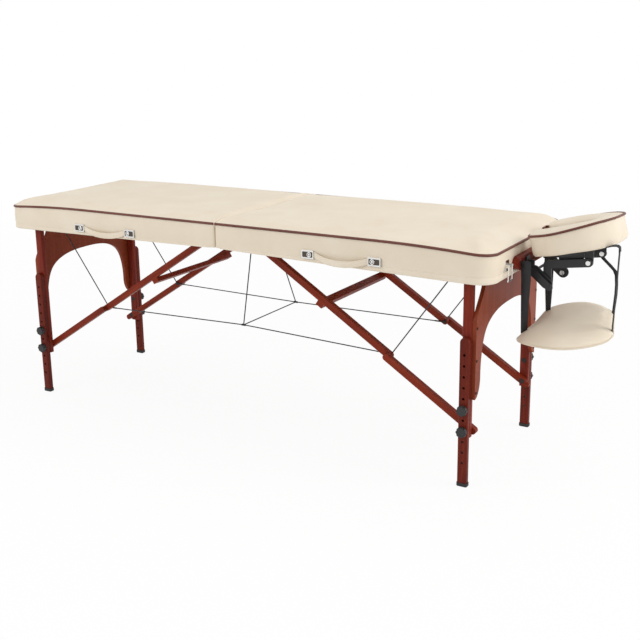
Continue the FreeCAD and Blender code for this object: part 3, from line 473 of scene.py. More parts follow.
@dataclass(frozen=True)
class LeatherFinish(Finish):
    """Embossed upholstery leather."""

    colour: Colour
    shade: Colour
    grain: float = 620.0
    roughness: float = 0.50
    relief: float = 0.00016
    gloss: float = 0.29
    cloud: float = 7.0
    pores: float = 420.0
    crease: float = 38.0
    crease_depth: float = 0.0011

    def dress(self, g: Surface) -> None:
        """Pebbled grain, soft creases and a cloudy tone.

        Args:
            g: The material's tree.
        """
        broad = g.noise(g.place, self.cloud, 3)
        fine = g.noise(g.place, self.pores, 3, 0.6)
        pebble = g.cells(g.stretched((1, 1, 1.25)), self.grain).between(0.0, 0.32)
        creases = g.noise(g.stretched((1, 1, 0.45)), self.crease, 5, 0.62, 0.4)
        tint = g.mix(broad.between(0.3, 0.7), self.shade, self.colour)
        worn = g.mix(fine.between(0.35, 0.75) * 0.10, tint, self.shade)
        g.surface(base_color=g.mix((1 - pebble) * 0.10, worn, self.shade))
        g.surface(roughness=self.roughness + 0.10 * broad - 0.06 * pebble, specular_IOR_level=self.gloss)
        g.relief(pebble + 0.35 * fine, self.relief, 0.55)
        g.relief(creases, self.crease_depth, 0.20)


class GrainWay(Enum):
    """Which way a wooden piece's grain runs, as the pattern's Euler turn."""

    ALONG_X = (0.0, 0.0, 0.0)
    ALONG_Y = (0.0, 0.0, math.pi / 2)
    ALONG_Z = (0.0, -math.pi / 2, 0.0)
    RIGHT_BRACE = (0.0, BRACE_LEAN, 0.0)
    LEFT_BRACE = (0.0, -BRACE_LEAN, 0.0)


@dataclass(frozen=True)
class WoodFinish(Finish):
    """Stained and lacquered hardwood."""

    dark: Colour
    middle: Colour
    light: Colour
    way: GrainWay
    lacquer: float = 0.05
    roughness: float = 0.40
    gloss: float = 0.12
    pore_depth: float = 0.00012
    figure_depth: float = 0.0004

    def dress(self, g: Surface) -> None:
        """Figure, streaks and pores along the grain, under a thin lacquer.

        Args:
            g: The material's tree.
        """
        turn = self.way.value
        figure = g.noise(g.stretched((2.2, 34, 34), turn), 1.6, 5, 0.6, 1.1)
        streaks = g.noise(g.stretched((7, 210, 210), turn), 1.0, 4, 0.65)
        pores = g.noise(g.stretched((45, 1500, 1500), turn), 1.0, 2, 0.5).between(0.56, 0.70)
        stain = g.noise(g.place, 9.0, 3)
        colour = g.ramp(figure, ((0.30, self.dark), (0.52, self.middle), (0.74, self.light)))
        colour = g.mix(streaks.between(0.42, 0.68) * 0.42, colour, self.dark)
        colour = g.mix(stain.between(0.35, 0.75) * 0.30, colour, self.light)
        g.surface(base_color=g.mix(pores * 0.55, colour, tuple(c * 0.45 for c in self.dark)))
        g.surface(roughness=self.roughness + 0.10 * streaks, coat_weight=self.lacquer, coat_roughness=0.22)
        g.surface(specular_IOR_level=self.gloss)
        g.relief(1 - pores, self.pore_depth, 0.5)
        g.relief(figure, self.figure_depth, 0.12)


@dataclass(frozen=True)
class MetalFinish(Finish):
    """Bare or plated metal."""

    colour: Colour
    roughness: float
    brushed: float = 0.2

    def dress(self, g: Surface) -> None:
        """Faint brush lines and a cloudy dullness.

        Args:
            g: The material's tree.
        """
        cloud = g.noise(g.place, 60.0, 4)
        lines = g.noise(g.stretched((300, 2600, 300)), 1.0, 3)
        dull = tuple(c * 0.72 for c in self.colour)
        g.surface(base_color=g.mix(cloud.between(0.4, 0.8) * 0.5, self.colour, dull))
        g.surface(metallic=1.0, roughness=self.roughness + 0.12 * cloud + 0.05 * lines)
        g.relief(lines, 0.00005, self.brushed)


@dataclass(frozen=True)
class CoatedFinish(Finish):
    """Powder-coated steel, moulded plastic, rubber or thread."""

    colour: Colour
    roughness: float
    texture: float
    depth: float

    def dress(self, g: Surface) -> None:
        """A fine peel and a little dust.

        Args:
            g: The material's tree.
        """
        peel = g.noise(g.place, self.texture, 3, 0.55)
        dust = g.noise(g.place, 24.0, 4)
        pale = tuple(c * 1.9 + 0.004 for c in self.colour)
        g.surface(base_color=g.mix(dust.between(0.45, 0.85) * 0.5, self.colour, pale))
        g.surface(roughness=self.roughness + 0.14 * dust - 0.05 * peel)
        g.relief(peel, self.depth, 0.6)


@dataclass(frozen=True)
class WebbingFinish(Finish):
    """Woven strap webbing, ribbed across its length."""

    colour: Colour

    def dress(self, g: Surface) -> None:
        """Ribs and a twill, with a little lint.

        Args:
            g: The material's tree.
        """
        ribs, twill = g.bands("Z", 130.0, 0.6), g.bands("DIAGONAL", 190.0)
        weave = ribs * 0.6 + twill * 0.4
        lint = g.noise(g.place, 900.0, 2)
        pale = tuple(c * 2.4 for c in self.colour)
        g.surface(base_color=g.mix(weave * 0.6 + lint * 0.2, self.colour, pale))
        g.surface(roughness=0.78 - 0.12 * weave)
        g.relief(weave, 0.0004, 0.7)


@dataclass(frozen=True)
class CableFinish(Finish):
    """Twisted steel wire."""

    hollow: Colour = (0.018, 0.018, 0.02)
    strand: Colour = (0.075, 0.075, 0.08)

    def dress(self, g: Surface) -> None:
        """Slanting strands.

        Args:
            g: The material's tree.
        """
        strands = g.bands("DIAGONAL", 320.0)
        g.surface(base_color=g.mix(strands, self.hollow, self.strand))
        g.surface(metallic=0.75, roughness=0.34 + 0.2 * strands)
        g.relief(strands, 0.0003, 0.6)


CREAM = LeatherFinish("cream_leather", (0.80, 0.715, 0.585), (0.745, 0.645, 0.505))
BROWN = LeatherFinish("brown_piping_leather", (0.165, 0.052, 0.036), (0.105, 0.030, 0.020), 900.0, 0.38)
STITCH = CoatedFinish("cream_thread", (0.72, 0.63, 0.49), 0.7, 1600.0, 0.0002)
BLACK_STEEL = CoatedFinish("black_powder_coat", (0.012, 0.012, 0.013), 0.40, 1500.0, 0.00008)
BLACK_PLASTIC = CoatedFinish("black_moulded_plastic", (0.014, 0.014, 0.015), 0.44, 2200.0, 0.00010)
RUBBER = CoatedFinish("black_rubber", (0.014, 0.014, 0.014), 0.66, 900.0, 0.0002)
DARK_BOLT = CoatedFinish("dark_bolt", (0.026, 0.009, 0.007), 0.70, 900.0, 0.0001)
# Painted shadow: the dark colour of the thin sheet that stands for the shade in each handle cap's slot
SLOT_SHADOW = CoatedFinish("dark_recess", (0.045, 0.032, 0.020), 0.22, 800.0, 0.0001)
CHROME = MetalFinish("bright_chrome", (0.80, 0.79, 0.77), 0.10, 0.08)
ZINC = MetalFinish("zinc_steel", (0.56, 0.56, 0.57), 0.30)
WEBBING = WebbingFinish("black_webbing", (0.011, 0.011, 0.012))
CABLE = CableFinish("twisted_cable")
MAHOGANY = ((0.100, 0.0100, 0.0045), (0.190, 0.0200, 0.0085), (0.280, 0.0350, 0.0150))
PALE_WOOD = WoodFinish(
    "pale_along_x", (0.40, 0.25, 0.13), (0.52, 0.35, 0.20), (0.62, 0.45, 0.28), GrainWay.ALONG_X, 0.0, 0.6
)


class Stain(Enum):
    """The red-brown stains: what red, green and blue are multiplied by, and how strongly the grain shows."""

    POST = (1.0, 1.0, 1.0, 1.0)
    LOWER_LEG = (0.70, 0.70, 0.65, 1.0)
    BRACE = (1.12, 1.20, 0.90, 0.9)
    PANEL = (1.22, 2.00, 1.60, 0.5)


def mahogany(way: GrainWay, stain: Stain = Stain.POST) -> WoodFinish:
    """The red-brown stained wood of legs and braces.

    Args:
        way: Its grain's direction.
        stain: Its stain.

    Returns:
        The finish.
    """
    *tint, grain = stain.value
    middle = MAHOGANY[1]
    tones = [tuple(k * (m + grain * (t - m)) for k, m, t in zip(tint, middle, tone)) for tone in MAHOGANY]
    return WoodFinish(f"mahogany_{way.name}_{stain.name}".lower(), *tones, way)


@dataclass
class Table:
    """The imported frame, and places counted from the centre hinge."""

    frame: dict[str, Any]
    centre: Vector = field(init=False)

    def __post_init__(self) -> None:
        """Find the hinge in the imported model."""
        low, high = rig.box("hinge_pins")
        middle = (low + high) / 2
        self.centre = Vector((middle.x, middle.y, 0))

    def at(self, x: float, y: float, z: float) -> Vector:
        """A place in the row frame, in metres."""
        return self.centre + Vector((x, y, z)) * MM

    def tilted(self, start: Pair, tilt: float, spot: Spot) -> Vector:
        """A place on a piece that is tilted about Y.

        Args:
            start: X and Z of the piece's own zero.
            tilt: Its tilt in degrees.
            spot: The place on the piece.

        Returns:
            The point in the row frame.
        """
        c, s = math.cos(math.radians(tilt)), math.sin(math.radians(tilt))
        x, y, z = spot
        return self.at(start[0] + x * c - z * s, y, start[1] + x * s + z * c)

    def node(self, name: str) -> Piece:
        """A CAD node's object."""
        return self.frame["nodes"][name]


def only(geom: Sequence[Any], kind: type) -> list[Any]:
    """The elements of one kind in an operator's result."""
    return [g for g in geom if isinstance(g, kind)]


def share_between(value: float, low: float, high: float) -> float:
    """Share of the way from low to high, kept from 0 to 1."""
    return min(max((value - low) / (high - low), 0.0), 1.0)


def finish_mesh(bm: BMesh, name: str, finish: Finish, sharp: float = ROUND) -> Piece:
    """Turn a bmesh into a shown object.

    Args:
        bm: The shape, in the row frame. It is freed.
        name: The piece's name.
        finish: Its finish.
        sharp: Edges over this angle, in degrees, stay sharp.

    Returns:
        The object.
    """
    limit = math.radians(sharp)
    for face in bm.faces:
        face.smooth = True
    for edge in bm.edges:
        edge.smooth = not (len(edge.link_faces) == 2 and edge.calc_face_angle(0.0) > limit)
    mesh = bpy.data.meshes.new(name)
    bm.to_mesh(mesh)
    bm.free()
    mesh.materials.append(finish.material)
    return show(name, mesh)


def show(name: str, data: bpy.types.ID) -> Piece:
    """Put a mesh, lamp or camera into the scene.

    Args:
        name: The object's name.
        data: What it holds.

    Returns:
        The object.
    """
    obj = bpy.data.objects.new(name, data)
    bpy.context.scene.collection.objects.link(obj)
    return obj


def subdivide(obj: Piece) -> None:
    """Smooth a piece with a subdivision surface, alike in the view and the render."""
    modifier = obj.modifiers.new("Smooth", "SUBSURF")
    modifier.levels = modifier.render_levels = 1


def settle(obj: Piece, body: str, slot: str, stands_for: Sequence[str] = ()) -> None:
    """Ride a piece on its body and name its slot and the nodes that it stands for.

    Args:
        obj: The piece.
        body: Its CAD body.
        slot: The record's material slot.
        stands_for: CAD nodes that it replaces.
    """
    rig.ride(obj, body)
    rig.slot(obj, slot)
    if stands_for:
        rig.replaces(obj, *stands_for)
    log.info("%s on %s", obj.name, body)


def settle_across(
    obj: Piece, slot: str, low: tuple[str, Vector], high: tuple[str, Vector], stands_for: Sequence[str]
) -> None:
    """Blend a piece from one body to another and name its slot and the nodes that it stands for.

    Args:
        obj: The piece.
        slot: The record's material slot.
        low: The body that it starts on, and where.
        high: The body that it ends on, and where.
        stands_for: CAD nodes that it replaces.
    """
    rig.slot(obj, slot)
    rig.blend(obj, low[0], high[0], low[1], high[1])
    if stands_for:
        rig.replaces(obj, *stands_for)
    log.info("%s from %s to %s", obj.name, low[0], high[0])


def ease_edges(bm: BMesh, edges: Sequence[Edge], width: float, segments: int = 2) -> None:
    """Round edges off.

    Args:
        bm: The shape.
        edges: The edges.
        width: How wide, in millimetres.
        segments: Steps round each edge.
    """
    bmesh.ops.bevel(
        bm,
        geom=edges,
        offset=width * MM,
        offset_type="OFFSET",
        segments=segments,
        profile=0.5,
        affect="EDGES",
        clamp_overlap=True,
        material=-1,
    )


def push(bm: BMesh, faces: Sequence[Face], step: Vector) -> list[Face]:
    """Extrude faces and move their new ends.

    Args:
        bm: The shape.
        faces: The faces at its end.
        step: How far the new end moves.

    Returns:
        The faces at the new end.
    """
    made = bmesh.ops.extrude_face_region(bm, geom=faces)["geom"]
    bmesh.ops.translate(bm, vec=step, verts=only(made, Vert))
    return only(made, Face)


def lay_ring(bm: BMesh, points: Sequence[Vector]) -> list[Vert]:
    """Lay one closed section of a swept piece.

    Args:
        bm: The shape.
        points: The section's points.

    Returns:
        Its vertices, in the order of the points.
    """
    ring = bmesh.ops.create_circle(bm, cap_ends=False, segments=len(points), radius=1.0)["verts"]
    for vert, point in zip(ring, points):
        vert.co = point
    return ring


def join_rings(bm: BMesh, rings: Sequence[Sequence[Vert]]) -> None:
    """Bridge each section of a swept piece to the next.

    Args:
        bm: The shape, which holds nothing but the sections.
        rings: The sections' vertices.
    """
    loops = [[e for e in bm.edges if inside.issuperset(e.verts)] for inside in map(set, rings)]
    for first, second in zip(loops, loops[1:]):
        bmesh.ops.bridge_loops(bm, edges=first + second)


def outwards(bm: BMesh) -> None:
    """Point a shape's faces outwards."""
    bmesh.ops.recalc_face_normals(bm, faces=bm.faces)


def close_shape(bm: BMesh) -> None:
    """Fill a shape's open ends and point its faces outwards."""
    bmesh.ops.holes_fill(bm, edges=[e for e in bm.edges if e.is_boundary], sides=0)
    outwards(bm)


def tube(name: str, points: Sequence[Vector], radius: float, finish: Finish, closed: bool = False) -> Piece:
    """A round tube along a smooth line.

    Args:
        name: The piece's name.
        points: The line's control points.
        radius: In millimetres.
        finish: Its finish.
        closed: Whether it joins its own start.

    Returns:
        The mesh object.
    """
    curve = bpy.data.curves.new(name, "CURVE")
    curve.dimensions = "3D"
    curve.bevel_depth, curve.bevel_resolution, curve.resolution_u = radius * MM, 3, 6
    curve.use_fill_caps = not closed
    spline = curve.splines.new("NURBS")
    spline.points.add(len(points) - 1)
    for target, point in zip(spline.points, points):
        target.co = (*point, 1.0)
    spline.use_cyclic_u, spline.use_endpoint_u = closed, not closed
    spline.order_u = 3
    holder = show(name + "_line", curve)
    graph = bpy.context.evaluated_depsgraph_get()
    mesh = bpy.data.meshes.new_from_object(holder.evaluated_get(graph))
    bpy.data.objects.remove(holder)
    bpy.data.curves.remove(curve)
    bm = bmesh.new()
    bm.from_mesh(mesh)
    bpy.data.meshes.remove(mesh)
    bmesh.ops.remove_doubles(bm, verts=bm.verts, dist=1e-6)
    outwards(bm)
    return finish_mesh(bm, name, finish)


def straight_cable(
    name: str, start: Vector, end: Vector, radius: float, finish: Finish = CABLE, steps: int = 1
) -> Piece:
    """A taut round cable between two points.

    Args:
        name: The piece's name.
        start: One end.
        end: The other end.
        radius: In millimetres.
        finish: Its finish.
        steps: Stretches along it, so that it can bend at a joint.

    Returns:
        The object.
    """
    run = end - start
    bm = bmesh.new()
    ring = bmesh.ops.create_circle(bm, cap_ends=True, segments=10, radius=radius * MM)["verts"]
    turn = run.to_track_quat("Z", "Y").to_matrix().to_4x4()
    bmesh.ops.transform(bm, matrix=Matrix.Translation(start) @ turn, verts=ring)
    face = bm.faces[:]
    for _ in range(steps):
        face = push(bm, face, run / steps)
    outwards(bm)
    return finish_mesh(bm, name, finish)


def wave(x: float, y: float, z: float) -> float:
    """A gentle unevenness from -1 to 1, the same every time.

    Args:
        x: Place in metres.
        y: Place in metres.
        z: Place in metres.

    Returns:
        The unevenness.
    """
    first = math.sin(19.0 * x + 7.0 * y + 1.3) * math.sin(11.0 * y - 5.0 * x + 31.0 * z)
    second = math.sin(43.0 * x - 29.0 * y + 2.1) * math.sin(37.0 * y + 17.0 * x + 0.7)
    third = math.sin(83.0 * x + 61.0 * z) * math.sin(71.0 * y + 0.4)
    return 0.55 * first + 0.30 * second + 0.15 * third


def swell(obj: Piece, held: Sequence[int], cap: float, pressure: float = 4.0, frames: int = 20) -> None:
    """Fill a padded piece out by a cloth simulation with pressure inside it, and keep the result in its mesh.

    Args:
        obj: The piece, a little smaller than its full shape and without modifiers.
        held: The numbers of the vertices that its seams hold in place.
        cap: The most that a point may move, in millimetres.
        pressure: The pressure inside.
        frames: How many steps it has to settle.
    """
    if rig.quick():
        return
    seams = obj.vertex_groups.new(name="Seams")
    cloth = obj.modifiers.new("Cloth", "CLOTH")
    cloth.point_cache.frame_start, cloth.point_cache.frame_end = 1, frames
    cloth.collision_settings.use_collision = False
    for name, value in CLOTH.items():
        setattr(cloth.settings, name, value)
    cloth.settings.uniform_pressure_force = pressure
    cloth.settings.effector_weights.gravity = 0.0
    if held:
        seams.add(list(held), 1.0, "REPLACE")
        cloth.settings.vertex_group_mass = seams.name
    scene = bpy.context.scene
    for frame in range(1, frames + 1):
        scene.frame_set(frame)
    graph = bpy.context.evaluated_depsgraph_get()
    settled = [v.co.copy() for v in obj.evaluated_get(graph).data.vertices]
    obj.modifiers.remove(cloth)
    obj.vertex_groups.remove(seams)
    steps = [place - vert.co for vert, place in zip(obj.data.vertices, settled)]
    for vert, step in zip(obj.data.vertices, steps):
        if step.length > 1e-7:
            vert.co += step * (cap * MM * math.tanh(step.length / (cap * MM)) / step.length)
    scene.frame_set(1)
    most = max(step.length for step in steps) / MM
    log.info("%s swelled by up to %.1f mm before its cap of %.1f mm", obj.name, most, cap)


@dataclass
class Assembly:
    """A sub-assembly of the table. Sizes in millimetres."""

    table: Table

    def build(self) -> None:
        """Make its pieces."""
        raise NotImplementedError


@dataclass
class HalfAssembly(Assembly):
    """A sub-assembly that is on one half of the top."""

    end: End

    @property
    def body(self) -> str:
        """The body that it is on."""
        return f"{self.end}_top"


@dataclass
class PaddedHalf(HalfAssembly):
    """One padded half of the top: its cover, its hanging lower rim and its piping."""

    half_length: float = 925.0
    half_width: float = 310.0
    corner: float = 60.0
    seam_corner: float = 9.0
    seam: float = 1.0
    lip: float = 3.0
    edge_z: float = 719.0
    crown_z: float = 723.0
    crown: float = 9.5
    crown_reach: float = 105.0
    seam_reach: float = 26.0
    seam_height: float = 0.52
    dip: float = 15.0
    dip_from: float = 560.0
    dip_fade: float = 60.0
    soft: float = 0.7
    uneven: float = 1.3
    crowding: float = 0.68
    lengthwise: int = 78
    crosswise: int = 56
    # Courses of the wall between these drops are free to swell
    free: Pair = (-76.0, -12.0)
    swelling: float = 3.5
    piping_r: float = 4.0
    piping_in: float = 1.6
    piping_gap: float = 3.0
    piping_steps: int = 24
    piping_bend: int = 14
    rim_z: float = 641.0
    rim_clear: float = 6.0
    rim_gap: float = 11.0
    rim_run: int = 26
    rim_bend: int = 12
    rim_across: int = 20
    # How uneven each course of the cover's wall is, how far in and how far down
    wall: ClassVar[tuple[Spot, ...]] = (
        (0.0, 2.7, -1.2), (0.0, 3.3, -4.5), (0.0, 2.4, -8.6), (0.0, 0.9, -11.5), (1.0, 2.3, -21.0),
        (0.6, 0.9, -30.0), (0.3, 0.2, -45.0), (0.3, 0.0, -62.0), (0.4, 0.2, -77.0), (0.0, 1.0, -81.0),
        (0.0, 3.6, -82.1), (0.0, 19.0, -82.3),
    )
    # How far in each point of the rim's section is, its share of the hang and how far it is raised
    rim_section: ClassVar[tuple[Spot, ...]] = (
        (1.6, 0.0, 8.0), (-0.35, 0.45, 0.0), (0.0, 0.75, 0.0), (1.2, 0.93, 0.0), (4.0, 1.0, 0.0),
        (12.0, 1.0, 0.0), (15.5, 0.92, 0.0), (17.0, 0.60, 0.0), (17.0, 0.0, 0.5), (8.0, 0.0, 4.0),
    )

    @property
    def hang(self) -> float:
        """How far the rim hangs below the rails at the table end."""
        return 20.0 if self.end is End.RIGHT else 14.0

    def build(self) -> None:
        """Make the cover, the rim and the piping."""
        self._cover()
        self._rim()
        self._piping()

    def _edge_share(self, share: float) -> float:
        """Draw grid lines closer together near the edges."""
        return self.crowding * math.sin(share * math.pi / 2) + (1 - self.crowding) * share

    def _plan(self, u: float, v: float, inset: float) -> Pair:
        """Where a grid point lies in the plan, with each square corner block rounded to a quarter disc.

        Args:
            u: From -1 at the seam to 1 at the table end.
            v: From -1 to 1 across.
            inset: How far the outline is drawn in.

        Returns:
            X and Y in millimetres, on the right half.
        """
        x0, x1 = self.seam + inset / 4, self.half_length - inset
        y1 = self.half_width - inset
        x = (x0 + x1) / 2 + (x1 - x0) / 2 * self._edge_share(u)
        y = y1 * self._edge_share(v)
        r = self.corner - inset if u > 0 else max(self.seam_corner - inset, 2.0)
        a = (x - (x1 - r)) / r if u > 0 else ((x0 + r) - x) / r
        b = (abs(y) - (y1 - r)) / r
        if a > 0 and b > 0:
            a, b = a * math.sqrt(1 - b * b / 2), b * math.sqrt(1 - a * a / 2)
            x = x1 - r + a * r if u > 0 else x0 + r - a * r
            y = math.copysign(y1 - r + b * r, y)
        return x, y

    def _inside(self, x: float, y: float) -> float:
        """How far a point of the plan is inside the lip, apart from the seam.

        Args:
            x: Its X on the right half.
            y: Its Y.

        Returns:
            The distance.
        """
        x1, y1, r = self.half_length - self.lip, self.half_width - self.lip, self.corner - self.lip
        dx, dy = x - (x1 - r), abs(y) - (y1 - r)
        if dx > 0 and dy > 0:
            return r - math.hypot(dx, dy)
        return min(x1 - x, y1 - abs(y))

    def _dip(self, x: float) -> float:
        """How far the top edge is drawn down towards the table end."""
        return self.dip * share_between(x, self.dip_from, self.half_length) ** 2

    def _height(self, x: float, y: float) -> float:
        """The crown's height at a point of the plan.

        Args:
            x: Its X on the right half.
            y: Its Y.

        Returns:
            Z.
        """
        rise = 1 - (1 - share_between(self._inside(x, y), 0.0, self.crown_reach)) ** 3.2
        near_seam = min((x - self.seam) / self.seam_reach, 1.0)
        at_seam = self.seam_height + (1 - self.seam_height) * (1 - (1 - near_seam) ** 2.4)
        soft = self.soft * rise * (wave(x * MM * self.end.value, y * MM, 0.0) - 1)
        low, top = self.crown_z - self._dip(x), self.crown_z + self.crown
        return low + (top - low) * min(rise, at_seam) + soft

    def _mirror(self, x: float, y: float, z: float) -> Vector:
        """A point of this half in the row frame."""
        return self.table.at(self.end.value * x, y, z)

    def _cover(self) -> None:
        """The upholstered cover, with drawn-in walls and a hem under the rails."""
        bm = bmesh.new()
        bmesh.ops.create_grid(bm, x_segments=self.lengthwise, y_segments=self.crosswise, size=1.0)
        spots = {v: (v.co.x, v.co.y) for v in bm.verts}
        for vert, (u, v) in spots.items():
            x, y = self._plan(u, v, self.lip)
            vert.co = (x, y, self._height(x, y))
        border = [e for e in bm.edges if e.is_boundary]
        held: list[Vert] = []
        for uneven, inset, drop in self.wall:
            made = bmesh.ops.extrude_edge_only(bm, edges=border)["geom"]
            fresh = set(only(made, Vert))
            for old in {v for e in border for v in e.verts}:
                partner = next(v for v in (e.other_vert(old) for e in old.link_edges) if v in fresh)
                spots[partner] = spots[old]
            for vert in fresh:
                u, v = spots[vert]
                x, y = self._plan(u, v, inset)
                shift = uneven * self.uneven * wave(x * MM, y * MM, drop * MM * 3)
                x, y = self._plan(u, v, inset + shift)
                vert.co = (x, y, self.crown_z + drop - self._dip(x) * max(1 + drop / self.dip_fade, 0.0))
            taut = not self.free[0] <= drop <= self.free[1]
            # The wall at the centre seam, where u is -1, is held too
            held += [v for v in fresh if taut or spots[v][0] < -0.999]
            border = only(made, Edge)
        for vert in bm.verts:
            vert.co = self._mirror(*vert.co)
        if self.end is End.LEFT:
            bmesh.ops.reverse_faces(bm, faces=bm.faces)
        bm.verts.index_update()
        seams = [v.index for v in held]
        obj = finish_mesh(bm, f"{self.end}_padded_top", CREAM, SOFT)
        swell(obj, seams, cap=self.swelling)
        subdivide(obj)
        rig.padded(obj, fill=0.9)
        settle(obj, self.body, "cream_leather", [f"{self.end}_cover", f"{self.end}_foam"])

    def _rim_stations(self) -> list[Station]:
        """Places along the lower edge, from the near side round the table end to the far side.

        Returns:
            X and Y on the outline, and its outward direction.
        """
        start, end, side, r = self.seam + self.rim_gap, self.half_length, self.half_width, self.corner
        run = [start + (end - r - start) * i / self.rim_run for i in range(self.rim_run)]
        angles = [math.radians(90 * i / self.rim_bend) for i in range(self.rim_bend)]
        turn = [(math.cos(a), math.sin(a)) for a in angles]
        stations = [(x, -side, 0.0, -1.0) for x in run]
        stations += [(end - r + r * s, -side + r - r * c, s, -c) for c, s in turn]
        across = [2 * i / self.rim_across - 1 for i in range(self.rim_across)]
        stations += [(end, (side - r) * share, 1.0, 0.0) for share in across]
        stations += [(end - r + r * c, side - r + r * s, c, s) for c, s in turn]
        return stations + [(x, side, 0.0, 1.0) for x in [end - r] + run[::-1]]

    def _rim(self) -> None:
        """The padded lower edge, which hangs lower at the table end and flattens when the halves close."""
        bm = bmesh.new()
        rings = []
        for x, y, nx, ny in self._rim_stations():
            hang = self.hang * (x / self.half_length) ** 0.8
            points = []
            for inset, share, rise in self.rim_section:
                inset -= self.soft * share * wave(x * MM * 2, y * MM * 2, 0.4)
                points.append(self._mirror(x - nx * inset, y - ny * inset, self.rim_z + rise - hang * share))
            rings.append(lay_ring(bm, points))
        join_rings(bm, rings)
        close_shape(bm)
        obj = finish_mesh(bm, f"{self.end}_padded_rim", CREAM, SOFT)
        subdivide(obj)
        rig.padded(obj, fill=0.9)
        settle(obj, self.body, "cream_leather")
        anchor = self._mirror(self.half_length / 2, 0, self.rim_z)
        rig.squash(obj, "close", axis=(0, 0, 1), anchor=anchor, keep=self.rim_clear / self.hang)

    def _piping(self) -> None:
        """The brown piping along the top edge, with a spun quarter turn at each table corner."""
        side, end, r = (size - self.piping_in for size in (self.half_width, self.half_length, self.corner))
        start = self.seam + self.piping_gap
        bm = bmesh.new()
        ring = bmesh.ops.create_circle(bm, cap_ends=False, segments=14, radius=self.piping_r)["verts"]
        turn = Matrix.Translation((start, -side, self.edge_z)) @ Matrix.Rotation(math.pi / 2, 4, "Y")
        bmesh.ops.transform(bm, matrix=turn, verts=ring)
        edges = bm.edges[:]

        def run(edges: list[Edge], step: Vector, count: int) -> list[Edge]:
            """Extrude the open end along a straight stretch.

            Args:
                edges: The open end.
                step: Each step's way.
                count: How many steps.

            Returns:
                The new open end.
            """
            for _ in range(count):
                made = bmesh.ops.extrude_edge_only(bm, edges=edges)["geom"]
                bmesh.ops.translate(bm, vec=step, verts=only(made, Vert))
                edges = only(made, Edge)
            return edges

        def bend(edges: list[Edge], y: float) -> list[Edge]:
            """Spin the open end round a corner.

            Args:
                edges: The open end.
                y: Y of the corner's middle.

            Returns:
                The new open end.
            """
            turn = {"cent": Vector((end - r, y, self.edge_z)), "axis": (0, 0, 1), "angle": math.pi / 2}
            made = bmesh.ops.spin(bm, geom=edges, steps=self.piping_bend, use_merge=False, **turn)
            return only(made["geom_last"], Edge)

        step = Vector(((end - r - start) / self.piping_steps, 0, 0))
        edges = run(edges, step, self.piping_steps)
        edges = bend(edges, r - side)
        edges = run(edges, Vector((0, 2 * (side - r), 0)), 1)
        edges = bend(edges, side - r)
        run(edges, -step, self.piping_steps)
        for vert in bm.verts:
            x, y, z = vert.co
            vert.co = self._mirror(x, y, z - self._dip(min(x, end)))
        bmesh.ops.remove_doubles(bm, verts=bm.verts, dist=1e-6)
        close_shape(bm)
        obj = finish_mesh(bm, f"{self.end}_piping_cord", BROWN)
        settle(obj, self.body, "brown_piping", [f"{self.end}_piping"])


